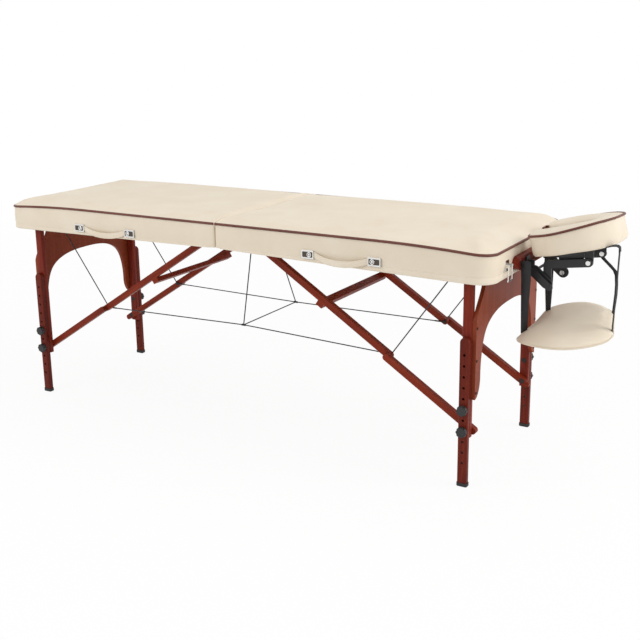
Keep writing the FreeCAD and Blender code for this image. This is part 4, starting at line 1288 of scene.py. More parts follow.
@dataclass
class FaceCushion(Assembly):
    """The horseshoe face pad and its piping, counted from its inner edge."""

    tilt: float = 14.0
    start: Pair = (966.5, 669.0)
    side: float = 62.0
    crown: float = 10.0
    crown_width: float = 62.0
    slot: float = 52.0
    slot_end: float = 112.0
    slot_corner: float = 16.0
    tip_r: float = 38.0
    tip_y: float = 88.0
    side_x: float = 100.0
    side_y: float = 74.0
    side_r: float = 80.0
    outer_x: float = 118.0
    outer_y: float = 28.0
    outer_r: float = 120.0
    stations: int = 64
    skirt: float = 8.0
    skirt_from: float = 110.0
    out_lift: float = 9.0
    lift_from: float = 40.0
    near_share: float = 0.45
    near_width: float = 200.0
    piping_r: float = 3.6
    piping_low: float = 0.985
    piping_points: int = 72
    mouth_points: int = 60
    swelling: float = 6.0
    # The section's wall: share of the width from the opening, and share of the side's height
    wall: ClassVar[tuple[Pair, ...]] = (
        (0.06, 0.0), (0.015, 0.08), (0.0, 0.3), (0.022, 0.58), (0.0, 0.86), (0.012, 0.97),
    )

    def build(self) -> None:
        """Make the cushion and its piping."""
        self._cushion()
        # The piping goes a little way into the opening at each tip
        mouth = self._slot_line(self.mouth_points)
        line = mouth[4:0:-1] + self._outline(self.piping_points) + mouth[-2:-6:-1]
        points = [self._to_row(x, y, self._rim(x, y) * self.piping_low) for x, y in line]
        settle(tube("face_cushion_piping", points, self.piping_r, BROWN), "cradle_platform", "brown_piping")

    @property
    def _tip(self) -> float:
        """Y of the middle of each tip, where the outline and the opening's wall meet."""
        return self.tip_y - 0.3 * self.tip_r

    def _outward(self, x: float, start: float) -> float:
        """An eased share, from 0 at a place along the pad to 1 at its outer end."""
        out = share_between(x, start, self.outer_x + self.outer_r)
        return out * out * (3 - 2 * out)

    def _rim(self, x: float, y: float) -> float:
        """The height of the top edge, which is fuller towards the outer end, most of all on the near side."""
        near = min(max(self.near_share - y / self.near_width, 0.0), 1.0)
        return self.side + self.out_lift * near * self._outward(x, self.lift_from)

    def _to_row(self, x: float, y: float, z: float) -> Vector:
        """A place on the tilted pad in the row frame."""
        return self.table.tilted(self.start, self.tilt, (x, y, z))

    def _support(self, way: float) -> Pair:
        """The outline's furthest point in a direction of the plan.

        Args:
            way: The direction's angle.

        Returns:
            X and Y.
        """
        c, s = math.cos(way), math.sin(way)
        circles = (
            (self.tip_r, math.copysign(self.tip_y, s), self.tip_r),
            (self.side_x, math.copysign(self.side_y, s), self.side_r),
            (self.outer_x, math.copysign(self.outer_y, s), self.outer_r),
        )
        x, y, r = max(circles, key=lambda k: k[0] * c + k[1] * s + k[2])
        return x + r * c, y + r * s

    def _outline(self, count: int) -> list[Pair]:
        """So many points along the outer edge, from the near tip's middle to the far tip's."""
        edge = [self._support(math.radians(-180 + i * 0.5)) for i in range(1, 720)]
        return self._spread([(0.0, -self._tip), *edge, (0.0, self._tip)], count)

    def _slot_line(self, count: int) -> list[Pair]:
        """Points along the opening's wall, from the near tip to the far one.

        Args:
            count: How many.

        Returns:
            The points.
        """
        w, e, r = self.slot, self.slot_end, self.slot_corner
        quarter = [i * math.pi / 24 for i in range(13)]
        corner = [(r - r * math.cos(t), w + r - r * math.sin(t)) for t in quarter]
        half = [math.pi * (i / 48 - 0.5) for i in range(49)]
        turn = [(e + w * math.cos(t), w * math.sin(t)) for t in half]
        line = [(0.0, -self._tip), *((x, -y) for x, y in corner), *turn, *corner[::-1], (0.0, self._tip)]
        return self._spread(line, count)

    @staticmethod
    def _spread(line: Sequence[Pair], count: int) -> list[Pair]:
        """Evenly spaced points along a line.

        Args:
            line: The line's points.
            count: How many to give.

        Returns:
            The spaced points.
        """
        lengths = [0.0]
        for (x0, y0), (x1, y1) in zip(line, line[1:]):
            lengths.append(lengths[-1] + math.hypot(x1 - x0, y1 - y0))
        spaced, i = [], 0
        for k in range(count):
            want = lengths[-1] * k / (count - 1)
            while i < len(line) - 2 and lengths[i + 1] < want:
                i += 1
            share = (want - lengths[i]) / max(lengths[i + 1] - lengths[i], 1e-9)
            (x0, y0), (x1, y1) = line[i], line[i + 1]
            spaced.append((x0 + (x1 - x0) * share, y0 + (y1 - y0) * share))
        return spaced

    def _section(self) -> list[Spot]:
        """The pad's section, from the opening's wall over the top and back along the underside.

        Returns:
            Each point's share of the width from the opening, of the side and of the crown.
        """
        up = [(share, low, 0.0) for share, low in self.wall]
        across = (0.05, 0.13, 0.25, 0.40, 0.50, 0.60, 0.75, 0.87, 0.95)
        top = [(t, 1.0, 1 - abs(2 * t - 1) ** 2.6) for t in across]
        down = [(1 - share, low, 0.0) for share, low in reversed(self.wall)]
        return up + top + down + [(t, 0.0, 0.0) for t in (0.75, 0.5, 0.25)]

    def _height(self, x: float, y: float, width: float, part: Spot) -> float:
        """The height of a point of the section.

        Args:
            x: Its X on the pad.
            y: Its Y.
            width: The pad's width there.
            part: The point's shares, as in the section.

        Returns:
            Z on the pad.
        """
        share, low, lift = part
        full = min(1.0, width / self.crown_width) ** 0.6 * (1 - 0.6 * self._outward(x, self.lift_from))
        z = self._rim(x, y) * low + self.crown * lift * full
        if share > 0.9:
            z -= self.skirt * self._outward(x, self.skirt_from) * max(1 - low / 0.55, 0.0)
        return z + (0.5 * wave(x * MM * 3, y * MM * 3, z * MM) if low > 0.1 else 0.0)

    def _cushion(self) -> None:
        """The pad: a section swept round the horseshoe, with drawn-in walls and a crown."""
        section = self._section()
        bm = bmesh.new()
        held = bm.verts.layers.int.new("held")
        rings = []
        for (ox, oy), (ix, iy) in zip(self._outline(self.stations), self._slot_line(self.stations)):
            width = math.hypot(ox - ix, oy - iy)
            points = []
            for part in section:
                x, y = ix + (ox - ix) * part[0], iy + (oy - iy) * part[0]
                points.append(self._to_row(x, y, self._height(x, y, width, part)))
            rings.append(lay_ring(bm, points))
            for vert, (share, low, _) in zip(rings[-1], section):
                vert[held] = low == 0.0 or (share > 0.94 and low > 0.9)
        join_rings(bm, rings)
        bmesh.ops.remove_doubles(bm, verts=bm.verts, dist=0.0004)
        close_shape(bm)
        bm.verts.index_update()
        seams = [v.index for v in bm.verts if v[held]]
        bm.verts.layers.int.remove(held)
        obj = finish_mesh(bm, "face_cushion", CREAM, SOFT)
        swell(obj, seams, cap=self.swelling)
        subdivide(obj)
        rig.padded(obj, fill=0.85)
        settle(obj, "cradle_platform", "cream_leather", ["face_pad"])


@dataclass
class ArmShelf(Assembly):
    """The lens-shaped arm shelf pad and its seam, counted from its inner edge."""

    tilt: float = 10.5
    lean: float = 0.09
    skew: float = -0.235
    start: Pair = (940.0, 418.5)
    length: float = 248.0
    inner: float = 146.0
    widest: float = 189.0
    outer: float = 98.0
    peak: float = 0.44
    # A corner's radius, and the share of the half width where it starts
    inner_corner: Pair = (24.0, 0.78)
    outer_corner: Pair = (22.0, 0.70)
    thick: float = 36.0
    seam_at: float = 0.38
    seam_r: float = 1.6
    seam_steps: int = 24
    uneven: float = 0.8
    held_up: float = 14.0
    hangs: float = 39.0
    lengthwise: int = 34
    crosswise: int = 40
    swelling: float = 4.0

    def build(self) -> None:
        """Make the pad and its seam."""
        self._pad()
        self._seam()

    def _half_width(self, share: float) -> float:
        """Half the shelf's width at a share of its length.

        Args:
            share: From 0 at the inner edge to 1 at the outer one.

        Returns:
            The half width.
        """
        if share < self.peak:
            t = share / self.peak
            return self.inner + (self.widest - self.inner) * (1 - (1 - t) ** 2)
        t = (share - self.peak) / (1 - self.peak)
        return self.widest - (self.widest - self.outer) * t**2

    def _to_row(self, x: float, y: float, z: float) -> Vector:
        """A place on the tilted shelf, whose near side is pulled up by its inner strap and sinks further out.

        Args:
            x: Along the shelf.
            y: Across it.
            z: Above its underside.

        Returns:
            The point in the row frame.
        """
        share = x / self.length
        x += self.skew * y * share * share
        z += self.lean * y + max(-y, 0.0) / self.widest * (self.held_up - self.hangs * share)
        return self.table.tilted(self.start, self.tilt, (x, y, z))

    def _plan(self, u: float, v: float) -> Pair:
        """Where a grid point lies in the plan, with rounded corners.

        Args:
            u: From -1 at the inner edge to 1 at the outer edge.
            v: From -1 to 1 across.

        Returns:
            X and Y from the inner edge's middle.
        """
        ends = []
        for radius, start in (self.inner_corner, self.outer_corner):
            past = max((abs(v) - start) / (1 - start), 0.0)
            ends.append(radius * (1 - math.sqrt(max(1 - past * past, 0.0))))
        x = ends[0] + (self.length - ends[0] - ends[1]) * (u + 1) / 2
        return x, v * self._half_width(x / self.length)

    def _puff(self, u: float, v: float) -> float:
        """How full the pad is at a grid point, from 0 to 1."""
        return (max(1 - abs(u) ** 4, 0.0) * max(1 - abs(v) ** 4, 0.0)) ** 0.42

    def _pad(self) -> None:
        """The pad: two sewn skins that meet at a seam low on its edge."""
        bm = bmesh.new()
        bmesh.ops.create_grid(bm, x_segments=self.lengthwise, y_segments=self.crosswise, size=1.0)
        top = bm.verts[:]
        copies = bmesh.ops.duplicate(bm, geom=bm.verts[:] + bm.edges[:] + bm.faces[:])["geom"]
        for verts, fill in ((top, 1 - self.seam_at), (only(copies, Vert), -self.seam_at)):
            for vert in verts:
                u, v = math.sin(vert.co.x * math.pi / 2), math.sin(vert.co.y * math.pi / 2)
                x, y = self._plan(u, v)
                puff = self._puff(u, v)
                z = self.thick * (self.seam_at + fill * puff)
                z += self.uneven * wave(x * MM * 2, y * MM * 2, 0.2) * puff
                vert.co = self._to_row(x, y, z)
        bmesh.ops.remove_doubles(bm, verts=bm.verts, dist=0.0002)
        outwards(bm)
        obj = finish_mesh(bm, "arm_shelf", CREAM, SOFT)
        swell(obj, (), cap=self.swelling)
        subdivide(obj)
        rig.padded(obj, fill=0.7)
        settle(obj, "cradle_base", "cream_leather", ["shelf_pad"])

    def _seam(self) -> None:
        """The welted seam round the pad's edge."""
        steps = [math.sin((2 * i / self.seam_steps - 1) * math.pi / 2) for i in range(self.seam_steps)]
        border = [(t, -1.0) for t in steps] + [(1.0, t) for t in steps]
        border += [(-t, 1.0) for t in steps] + [(-1.0, -t) for t in steps]
        points = [self._to_row(*self._plan(u, v), self.thick * self.seam_at) for u, v in border]
        seam = tube("arm_shelf_seam", points, self.seam_r, CREAM, closed=True)
        settle(seam, "cradle_base", "cream_leather")


@dataclass
class CradleStraps(Assembly):
    """The webbing that carries the arm shelf. Each route's stations are X, Y, Z and the strap's width."""

    thick: float = 1.8
    loop_z: float = 705.0
    inner: ClassVar[dict[Side, tuple[Station, ...]]] = {
        Side.NEAR: ((961, -138, 664, 30), (960, -127.5, 608, 28), (955, -115, 541, 24), (949, -96, 439, 19)),
        Side.FAR: ((955, 93, 664, 28), (956, 91, 610, 27), (958, 87, 540, 23), (961, 81, 457, 14)),
    }
    outer: ClassVar[dict[Side, tuple[Station, ...]]] = {
        Side.NEAR: (
            (1208.5, -95, 719, 15), (1209, -95, 703, 13), (1205, -86, 640, 12), (1200, -74, 560, 12),
            (1192.5, -59, 465.5, 12),
        ),
        Side.FAR: (
            (1108, 80, 660, 13), (1121, 80, 643, 13), (1140, 80, 626, 13), (1155, 80, 611, 12),
            (1160, 80, 598, 10), (1162, 80, 570, 9), (1162, 79, 540, 9), (1158, 77, 482, 8),
        ),
    }
    loop: ClassVar[tuple[Station, ...]] = (
        (1146, -70, 703, 22), (1172, -85, 716, 28), (1192, -93, 723, 28), (1203, -95, 724, 24),
        (1209.5, -95.5, 720, 18), (1211, -95.5, 708, 14),
    )

    def build(self) -> None:
        """Two wide straps from the board, two narrow ones further out, and the near one's loop."""
        at = self.table.at
        for side, route in self.inner.items():
            strap = self._web(f"{side}_inner_strap", route, True)
            settle(strap, "cradle_base", "black_webbing", ["inner_straps"] if side is Side.NEAR else [])
        for side, route in self.outer.items():
            strap = self._web(f"{side}_outer_strap", route, side is Side.FAR)
            top = next(spot for spot in route if spot[2] < self.loop_z)
            low, high = ("cradle_base", at(*route[-1][:3])), ("cradle_arms", at(*top[:3]))
            settle_across(strap, "black_webbing", low, high, ["outer_straps"] if side is Side.NEAR else [])
        settle(self._web("near_outer_loop", self.loop, False), "cradle_platform", "black_webbing")

    def _web(self, name: str, route: Sequence[Station], along_x: bool) -> Piece:
        """A flat strap along a route.

        Args:
            name: The piece's name.
            route: Its stations.
            along_x: Whether its width lies along X or along Y.

        Returns:
            The object.
        """
        bm = bmesh.new()
        across = Vector((1, 0, 0)) if along_x else Vector((0, 1, 0))
        ends: list[Vert] = []
        edge: list[Edge] = []
        for *place, width in route:
            spot, reach = self.table.at(*place), across * width * MM / 2
            if edge:
                made = bmesh.ops.extrude_edge_only(bm, edges=edge)["geom"]
                old, edge = ends, only(made, Edge)
                ends = [next(v for v in only(made, Vert) if bm.edges.get((v, start))) for start in old]
            else:
                ends = [bm.verts.new(spot), bm.verts.new(spot)]
                edge = [bm.edges.new(ends)]
            for vert, shift in zip(ends, (-reach, reach)):
                vert.co = spot + shift
        bmesh.ops.subdivide_edges(bm, edges=bm.edges[:], cuts=1, use_grid_fill=True)
        obj = finish_mesh(bm, name, WEBBING)
        wall = obj.modifiers.new("Thickness", "SOLIDIFY")
        wall.thickness, wall.offset = self.thick * MM, 0.0
        return obj


@dataclass
class PlatformFlange(Assembly):
    """The folded flange that stiffens the platform beside each arm."""

    inner_y: float = 60.5
    thick: float = 5.0
    ease: float = 1.2
    outline: ClassVar[tuple[Pair, ...]] = ((1032, 660), (1104, 669), (1104, 694), (1032, 676))

    def build(self) -> None:
        """Make both flanges."""
        for side in Side:
            bm = bmesh.new()
            corners = [bm.verts.new(self.table.at(x, side.value * self.inner_y, z)) for x, z in self.outline]
            push(bm, [bm.faces.new(corners)], Vector((0, side.value * self.thick * MM, 0)))
            ease_edges(bm, bm.edges[:], self.ease)
            outwards(bm)
            obj = finish_mesh(bm, f"{side}_platform_flange", BLACK_STEEL, 50.0)
            settle(obj, "cradle_platform", "black_steel")


@dataclass
class CableRig(Assembly):
    """The bracing cables with their eyes, sleeves, ferrules and elbow pins."""

    radius: float = 1.9
    elbow: Pair = (569.4, 345.2)
    cable_y: float = 197.1
    node_y: float = 165.0
    node_z: float = 350.0
    run_end: float = 4.0
    eye_x: float = 815.0
    eye_z: float = 683.0
    eye_r: float = 6.0
    eye_wire: float = 1.4
    stay_gap: float = 9.0
    sleeve: Pair = (10.0, 34.0)
    sleeve_r: float = 2.6
    head_r: float = 6.5
    head_y: float = 2.7
    ferrule: Pair = (7.0, 3.6)
    tie_eye: Spot = (-28.3, 45.0, 674.0)
    tie_way: Spot = (-0.298, 0.0, 0.9545)
    # The elbow pin's domed head: steps outwards, and what its width is multiplied by at each
    head: ClassVar[tuple[Pair, ...]] = ((4.2, 1.0), (1.0, 0.86), (0.8, 0.55))

    def build(self) -> None:
        """Make every cable of both halves."""
        for end in End:
            for side in Side:
                elbow = self.table.at(end.value * self.elbow[0], side.value * self.cable_y, self.elbow[1])
                self._stay(end, side, elbow)
                self._run(end, side, elbow)
                self._head(end, side)
        self._ties()

    def _stay(self, end: End, side: Side, elbow: Vector) -> None:
        """One stay from its eye on the deck to an elbow, which bends with the brace.

        Args:
            end: The half.
            side: The side.
            elbow: Where the elbow is.
        """
        name = f"{side}_{end}_stay"
        high = self.table.at(end.value * self.eye_x, side.value * self.cable_y, self.eye_z)
        tip = elbow + (high - elbow).normalized() * self.stay_gap * MM
        stay = straight_cable(name, high, tip, self.radius, steps=12)
        bodies = (f"{end}_top", high), (f"{end}_upper_brace", elbow)
        settle_across(stay, "cable_steel", *bodies, [f"{end}_cables"] if side is Side.NEAR else [])
        turns = [i * math.pi / 5 for i in range(10)]
        ring = [high + Vector((math.cos(a), 0, math.sin(a))) * self.eye_r * MM for a in turns]
        settle(tube(name + "_eye", ring, self.eye_wire, ZINC, closed=True), f"{end}_top", "zinc_steel")

    def _run(self, end: End, side: Side, elbow: Vector) -> None:
        """One run from an elbow to the centre, with its black sleeve.

        Args:
            end: The half.
            side: The side.
            elbow: Where the elbow is.
        """
        stop = self.table.at(end.value * self.run_end, side.value * self.node_y, self.node_z)
        run = straight_cable(f"{side}_{end}_run", elbow, stop, self.radius)
        settle(run, f"{end}_run", "cable_steel", [f"{end}_runs"] if side is Side.NEAR else [])
        way = (stop - elbow).normalized() * MM
        ends = (elbow + way * place for place in self.sleeve)
        sleeve = straight_cable(f"{side}_{end}_sleeve", *ends, self.sleeve_r, RUBBER)
        settle(sleeve, f"{end}_run", "black_rubber")

    def _head(self, end: End, side: Side) -> None:
        """The domed head of one elbow's pin.

        Args:
            end: The half.
            side: The side.
        """
        x, z = self.elbow
        place = self.table.at(end.value * x, side.value * (self.cable_y + self.head_y), z)
        bm = bmesh.new()
        ring = bmesh.ops.create_circle(bm, cap_ends=True, segments=24, radius=self.head_r * MM)["verts"]
        turn = Matrix.Translation(place) @ Matrix.Rotation(math.pi / 2, 4, "X")
        bmesh.ops.transform(bm, matrix=turn, verts=ring)
        face = bm.faces[:]
        for step, size in self.head:
            face = push(bm, face, Vector((0, -side.value * step * MM, 0)))
            to_middle = Matrix.Translation(-face[0].calc_center_median())
            bmesh.ops.scale(bm, vec=(size, 1, size), verts=face[0].verts[:], space=to_middle)
        outwards(bm)
        obj = finish_mesh(bm, f"{side}_{end}_elbow_head", DARK_BOLT, 40.0)
        settle(obj, f"{end}_run", "black_plastic")

    def _ties(self) -> None:
        """The ties from the centre rail to the ferrules and the cable between, which fold with the legs."""
        at = self.table.at
        x, y, z = self.tie_eye
        half, wide = self.ferrule
        pieces = []
        for side in Side:
            node_y = side.value * self.node_y
            ends = at(x, side.value * y, z), at(0, node_y, self.node_z)
            pieces.append(straight_cable(f"{side}_tie", *ends, self.radius, steps=8))
            ends = at(-half, node_y, self.node_z), at(half, node_y, self.node_z)
            pieces.append(straight_cable(f"{side}_ferrule", *ends, wide, RUBBER))
        ends = at(0, -self.node_y, self.node_z), at(0, self.node_y, self.node_z)
        pieces.append(straight_cable("cross_tie", *ends, self.radius, steps=8))
        for obj in pieces:
            settle(obj, "left_top", "black_rubber" if "ferrule" in obj.name else "cable_steel")
            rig.squash(obj, "fold", axis=Vector(self.tie_way), anchor=at(x, 0, z), keep=0.02)


@dataclass
class StrapHandle(HalfAssembly):
    """A strap handle on the near side rail: strap, stitches, and the painted slot shadows and rivets of its caps."""

    middle: float = 460.0
    half: float = 112.0
    z: float = 657.0
    face: float = -310.0
    behind: float = 0.2
    thick: float = 4.0
    width: float = 20.0
    under_cap: float = 12.0
    cap_half: float = 21.0
    bow: float = 10.0
    apart: float = 2.7
    sag: float = 16.0
    steps: int = 44
    stitch_from: float = 26.0
    stitch_pitch: float = 4.6
    stitch: Spot = (3.2, 0.7, 0.7)
    stitch_out: float = 0.82
    stitch_row: float = 0.34
    cap_depth: float = 6.8
    # The thin dark sheet painted as the shadow in each cap's slot: its size, its rounded corners and how far in it sits
    recess: Spot = (35.0, 0.8, 17.0)
    recess_corner: float = 2.5
    recess_in: float = 0.1
    rivet_in: float = 6.0
    rivet_r: float = 3.4
    rivet_out: float = 0.4
    ring_r: float = 6.4
    ring_wire: float = 1.5
    ring_out: float = 0.6

    def build(self) -> None:
        """Make the strap, its stitches and what shows on its caps."""
        self._strap()
        self._stitches()
        for number, side in enumerate((-1, 1)):
            self._cap(number, side)

    def _at(self, x: float, y: float, z: float) -> Vector:
        """A place counted along X from the handle's middle, in the row frame."""
        return self.table.at(self.end.value * self.middle + x, y, z)

    def _spot(self, x: float) -> Pair:
        """How far out and how low the strap is at a place along it.

        The right strap bows out further, so that the two pass each other when the table is closed.

        Args:
            x: The place, from the handle's middle.

        Returns:
            Y and Z.
        """
        share = max(1 - (abs(x) / (self.half - self.cap_half)) ** 2.2, 0.0)
        bow = self.bow + self.end.value * self.apart
        return self.face - self.behind - bow * share, self.z - self.sag * share

    def _strap(self) -> None:
        """The padded strap, bowed out and sagging between its caps."""
        bm = bmesh.new()
        start = -self.half - self.under_cap
        outline = bmesh.ops.create_grid(bm, x_segments=1, y_segments=4, size=0.5)
        face = bm.faces[:]
        for vert in outline["verts"]:
            puff = 1 - (2 * abs(vert.co.y)) ** 2 * 0.75
            vert.co = Vector((start, (vert.co.x * puff - 0.5) * self.thick, vert.co.y * self.width))
        for _ in range(self.steps):
            face = push(bm, face, Vector((-2 * start / self.steps, 0, 0)))
        for vert in bm.verts:
            y, z = self._spot(vert.co.x)
            vert.co = self._at(vert.co.x, y + vert.co.y, z + vert.co.z)
        outwards(bm)
        obj = finish_mesh(bm, f"{self.end}_strap", CREAM, 70.0)
        subdivide(obj)
        settle(obj, self.body, "cream_leather", [f"{self.end}_handle_strap"])

    def _stitches(self) -> None:
        """The two rows of stitches along the strap."""
        bm = bmesh.new()
        start = -self.half + self.stitch_from
        size = Matrix.Diagonal((*(length * MM for length in self.stitch), 1))
        for i in range(math.ceil(-2 * start / self.stitch_pitch)):
            x = start + i * self.stitch_pitch
            (y, z), (_, next_z) = self._spot(x), self._spot(x + 1)
            lean = Matrix.Rotation(-math.atan2(next_z - z, 1.0), 4, "Y")
            for row in (-1, 1):
                made = bmesh.ops.create_icosphere(bm, subdivisions=1, radius=0.5)["verts"]
                spot = self._at(x, y - self.thick * self.stitch_out, z + row * self.width * self.stitch_row)
                bmesh.ops.transform(bm, matrix=Matrix.Translation(spot) @ lean @ size, verts=made)
        settle(finish_mesh(bm, f"{self.end}_strap_stitches", STITCH), self.body, "cream_leather")

    def _cap(self, number: int, side: int) -> None:
        """A painted slot shadow, a bright ring and a rivet on one cap.

        Args:
            number: The cap's number.
            side: Which way it lies from the handle's middle.
        """
        x, front = side * self.half, self.face - self.cap_depth
        # Painted shadow: a thin dark sheet in the cap's face stands for the shade in its slot
        bm = bmesh.new()
        verts = bmesh.ops.create_cube(bm, size=1.0)["verts"]
        size = Matrix.Diagonal((*(length * MM for length in self.recess), 1))
        place = Matrix.Translation(self._at(x, front + self.recess_in, self.z))
        bmesh.ops.transform(bm, matrix=place @ size, verts=verts)
        upright = [e for e in bm.edges if abs((e.verts[0].co - e.verts[1].co).y) > 0.5 * MM]
        ease_edges(bm, upright, self.recess_corner, 5)
        settle(finish_mesh(bm, f"{self.end}_cap_slot_{number}", SLOT_SHADOW, 40.0), self.body, "chrome")
        x -= side * self.rivet_in
        turns = [i * math.pi / 8 for i in range(16)]
        r, y = self.ring_r, front - self.ring_out
        ring = [self._at(x + r * math.cos(a), y, self.z + r * math.sin(a)) for a in turns]
        name = f"{self.end}_cap_ring_{number}"
        settle(tube(name, ring, self.ring_wire, CHROME, closed=True), self.body, "chrome")
        bm = bmesh.new()
        dome = bmesh.ops.create_uvsphere(bm, u_segments=16, v_segments=10, radius=self.rivet_r * MM)["verts"]
        place = Matrix.Translation(self._at(x, front - self.rivet_out, self.z))
        bmesh.ops.transform(bm, matrix=place @ Matrix.Diagonal((1, 0.5, 1, 1)), verts=dome)
        settle(finish_mesh(bm, f"{self.end}_cap_rivet_{number}", CHROME), self.body, "chrome")


@dataclass
class Hardware(Assembly):
    """The rigid wood, steel, plastic and rubber pieces that keep their CAD shapes."""

    flat: float = 0.6
    corner: float = 40.0

    def build(self) -> None:
        """Dress every rigid node."""
        upright, across = mahogany(GrainWay.ALONG_Z), mahogany(GrainWay.ALONG_Y)
        lower, panel = mahogany(GrainWay.ALONG_Z, Stain.LOWER_LEG), mahogany(GrainWay.ALONG_Z, Stain.PANEL)
        for end in End:
            brace = mahogany(GrainWay.RIGHT_BRACE if end is End.RIGHT else GrainWay.LEFT_BRACE, Stain.BRACE)
            self._ease(f"{end}_leg_posts", upright, "mahogany_wood", 0.8)
            self._ease(f"{end}_arch_panel", panel, "mahogany_wood", 1.6)
            self._ease(f"{end}_upper_struts", brace, "mahogany_wood", 1.8)
            self._ease(f"{end}_lower_struts", brace, "mahogany_wood", 1.8)
            self._dress(f"{end}_frame_rails", PALE_WOOD)
            self._dress(f"{end}_deck", PALE_WOOD)
            self._ease(f"{end}_hinge_leaves", ZINC, "zinc_steel", 0.4)
            self._ease(f"{end}_brackets", ZINC, "zinc_steel", 0.4)
            self._ease(f"{end}_leg_bolts", DARK_BOLT, "black_steel", 0.5)
            self._ease(f"{end}_fittings", CHROME, "chrome", 0.8)
            for leg in (f"{side}_{end}_" for side in Side):
                self._ease(leg + "lower_leg", lower, "mahogany_wood", 0.8)
                self._ease(leg + "foot", RUBBER, "black_rubber", 0.5)
                self._ease(leg + "upper_knob", BLACK_PLASTIC, "black_plastic", 1.0)
                self._ease(leg + "lower_knob", BLACK_PLASTIC, "black_plastic", 1.0)
        self._ease("hinge_pins", ZINC, "zinc_steel", 0.5)
        self._ease("cradle_board", across, "mahogany_wood", 2.2)
        self._ease("cradle_brackets", BLACK_STEEL, "black_steel", 0.7)
        self._ease("cradle_arms", BLACK_STEEL, "black_steel", 0.7)
        self._ease("cradle_platform", BLACK_STEEL, "black_steel", 1.0)
        self._ease("cradle_bolts", CHROME, "zinc_steel", 0.6)
        self._ease("cradle_lever", BLACK_PLASTIC, "black_plastic", 1.2)
        self._dress("latch_bail", CHROME)

    def _ease(self, node: str, finish: Finish, slot: str, width: float) -> None:
        """Show a copy of a CAD node with its edges eased, which stands for the node.

        Args:
            node: The node.
            finish: Its finish.
            slot: Its material slot.
            width: The eased edge's width.
        """
        source = self.table.node(node)
        bm = bmesh.new()
        bm.from_mesh(source.data)
        bmesh.ops.remove_doubles(bm, verts=bm.verts, dist=2e-6)
        bmesh.ops.dissolve_limit(bm, angle_limit=math.radians(self.flat), verts=bm.verts, edges=bm.edges)
        corner = math.radians(self.corner)
        edges = [e for e in bm.edges if len(e.link_faces) == 2 and e.calc_face_angle(0.0) > corner]
        ease_edges(bm, edges, width)
        obj = finish_mesh(bm, node + "_piece", finish, 50.0)
        obj.modifiers.new("Flat", "WEIGHTED_NORMAL").keep_sharp = True
        settle(obj, source["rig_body"], slot, [node])

    def _dress(self, node: str, finish: Finish) -> None:
        """Give a CAD node that stays as it is a finish.

        Args:
            node: The node.
            finish: Its finish.
        """
        mesh = self.table.node(node).data
        mesh.materials.clear()
        mesh.materials.append(finish.material)
        log.info("%s dressed", node)


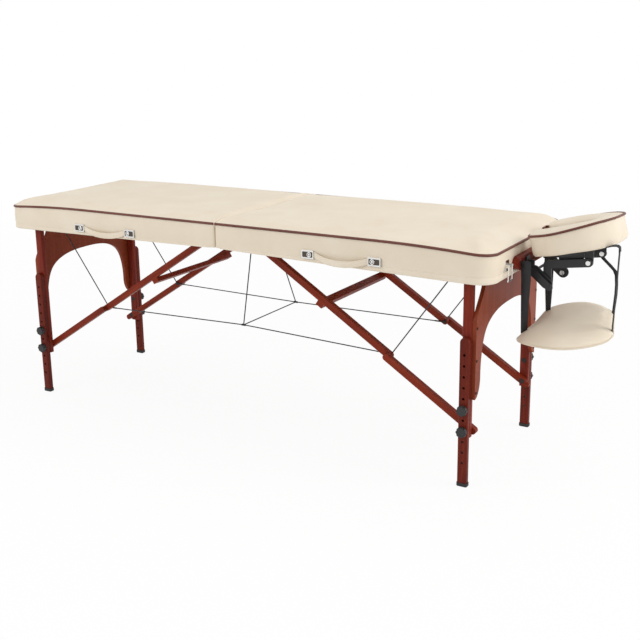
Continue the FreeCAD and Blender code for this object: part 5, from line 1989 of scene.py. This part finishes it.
@dataclass
class Studio(Assembly):
    """A white studio and a camera at the photograph's viewing angle. Angles in degrees."""

    eye: Spot = (1899.6, -2843.6, 1316.8)
    yaw: float = -31.69
    pitch: float = 14.60
    roll: float = -1.01
    lens: float = 57.25
    shift: Pair = (0.0227, -0.0452)
    aim: Spot = (100, 0, 550)
    floor_half: float = 30.0
    floor_white: float = 0.91
    floor_fade: Pair = (1.6, 5.0)
    world_light: float = 0.70
    # Each lamp's place, width and power in watts
    lamps: ClassVar[dict[str, tuple[Spot, float, float]]] = {
        "key": ((-1500, -3200, 2600), 2600, 38.0),
        "side": ((5200, 700, 3100), 3300, 132.0),
        "top": ((200, 300, 3400), 3200, 7.0),
    }

    def build(self) -> None:
        """Make the camera, floor, lamps and world."""
        self._camera()
        self._floor()
        self._lamps()
        self._world()

    def _camera(self) -> None:
        """The camera."""
        yaw, pitch, roll = (math.radians(a) for a in (self.yaw, self.pitch, self.roll))
        ahead = Vector((math.sin(yaw) * math.cos(pitch), math.cos(yaw) * math.cos(pitch), -math.sin(pitch)))
        right = Vector((math.cos(yaw), -math.sin(yaw), 0))
        up = right.cross(ahead)
        level = right * math.cos(roll) + up * math.sin(roll)
        rise = up * math.cos(roll) - right * math.sin(roll)
        data = bpy.data.cameras.new("Camera")
        data.lens, data.sensor_width = self.lens, 36.0
        data.shift_x, data.shift_y = self.shift
        data.clip_start, data.clip_end = 0.05, 60.0
        camera = show("Camera", data)
        axes = Matrix((level, rise, -ahead)).transposed().to_4x4()
        camera.matrix_world = Matrix.Translation(self.table.at(*self.eye)) @ axes
        bpy.context.scene.camera = camera

    @staticmethod
    def _seen(g: Graph) -> Value:
        """Tell the rays that show the backdrop from those that only light with it.

        Args:
            g: The backdrop's tree.

        Returns:
            1 where it is seen, straight or in a reflection, and otherwise 0.
        """
        path = g.node("LightPath").outputs
        kinds = ("Camera", "Glossy", "Transmission")
        camera, glossy, through = (Value(g, path[f"Is {kind} Ray"]) for kind in kinds)
        return camera + glossy + through

    def _floor(self) -> None:
        """A pale floor that stays white for the camera and keeps a soft shadow."""
        bm = bmesh.new()
        bmesh.ops.create_grid(bm, x_segments=2, y_segments=2, size=self.floor_half)
        mesh = bpy.data.meshes.new("floor")
        bm.to_mesh(mesh)
        bm.free()
        material = bpy.data.materials.new("studio_floor")
        mesh.materials.append(material)
        g = Graph(material)
        matte = g.node("BsdfDiffuse", {}, {0: (0.9, 0.9, 0.9)}).outputs[0]
        glow = g.node("Emission", {}, {0: (1.0, 1.0, 1.0)}).outputs[0]
        spot = g.node("TexCoord").outputs["Object"]
        away = Value(g, g.node("VectorMath", {"operation": "LENGTH"}, {0: spot}).outputs["Value"])
        white = self.floor_white + (1 - self.floor_white) * away.between(*self.floor_fade)
        mix = g.node("MixShader", {}, {0: self._seen(g) * white, 1: matte, 2: glow}).outputs[0]
        g.node("OutputMaterial", {}, {0: mix})
        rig.stage(show("floor", mesh))

    def _lamps(self) -> None:
        """A large soft key from the front left, a side light beyond the cradle and a top light."""
        for name, (place, size, power) in self.lamps.items():
            data = bpy.data.lights.new(name, "AREA")
            data.shape, data.size, data.energy = "DISK", size * MM, power
            lamp = show(name, data)
            lamp.location = self.table.at(*place)
            aim = self.table.at(*self.aim) - lamp.location
            lamp.rotation_euler = aim.to_track_quat("-Z", "Y").to_euler()

    def _world(self) -> None:
        """A white world, dimmer where it lights the table than where it is seen."""
        world = bpy.data.worlds.new("studio")
        bpy.context.scene.world = world
        g = Graph(world)
        strength = self.world_light + (1 - self.world_light) * self._seen(g)
        sky = g.node("Background", {}, {0: (1.0, 1.0, 1.0), 1: strength}).outputs[0]
        g.node("OutputWorld", {}, {0: sky})


def write_sizes(cad: tuple[Vector, Vector]) -> None:
    """Args:
        cad: The CAD model's lowest and highest corner.
    """
    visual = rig.bounds()
    boxes = {"cad": [list(c) for c in cad], "visual": [list(c) for c in visual]}
    with open(SIZE_FILE, "w") as file:
        json.dump(boxes, file)
    log.info("sizes %s", boxes)


def main() -> None:
    """Build the table's looks."""
    logging.basicConfig(level=logging.INFO, format="%(message)s")
    for leftover in list(bpy.data.objects):
        bpy.data.objects.remove(leftover)
    table = Table(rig.load())
    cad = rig.bounds()
    scene = bpy.context.scene
    scene.view_settings.view_transform = "Standard"
    Studio(table).build()
    CableRig(table).build()
    for end in End:
        PaddedHalf(table, end).build()
        StrapHandle(table, end).build()
    for assembly in (FaceCushion, ArmShelf, CradleStraps, PlatformFlange, Hardware):
        assembly(table).build()
    write_sizes(cad)


if __name__ == "__main__":
    main()
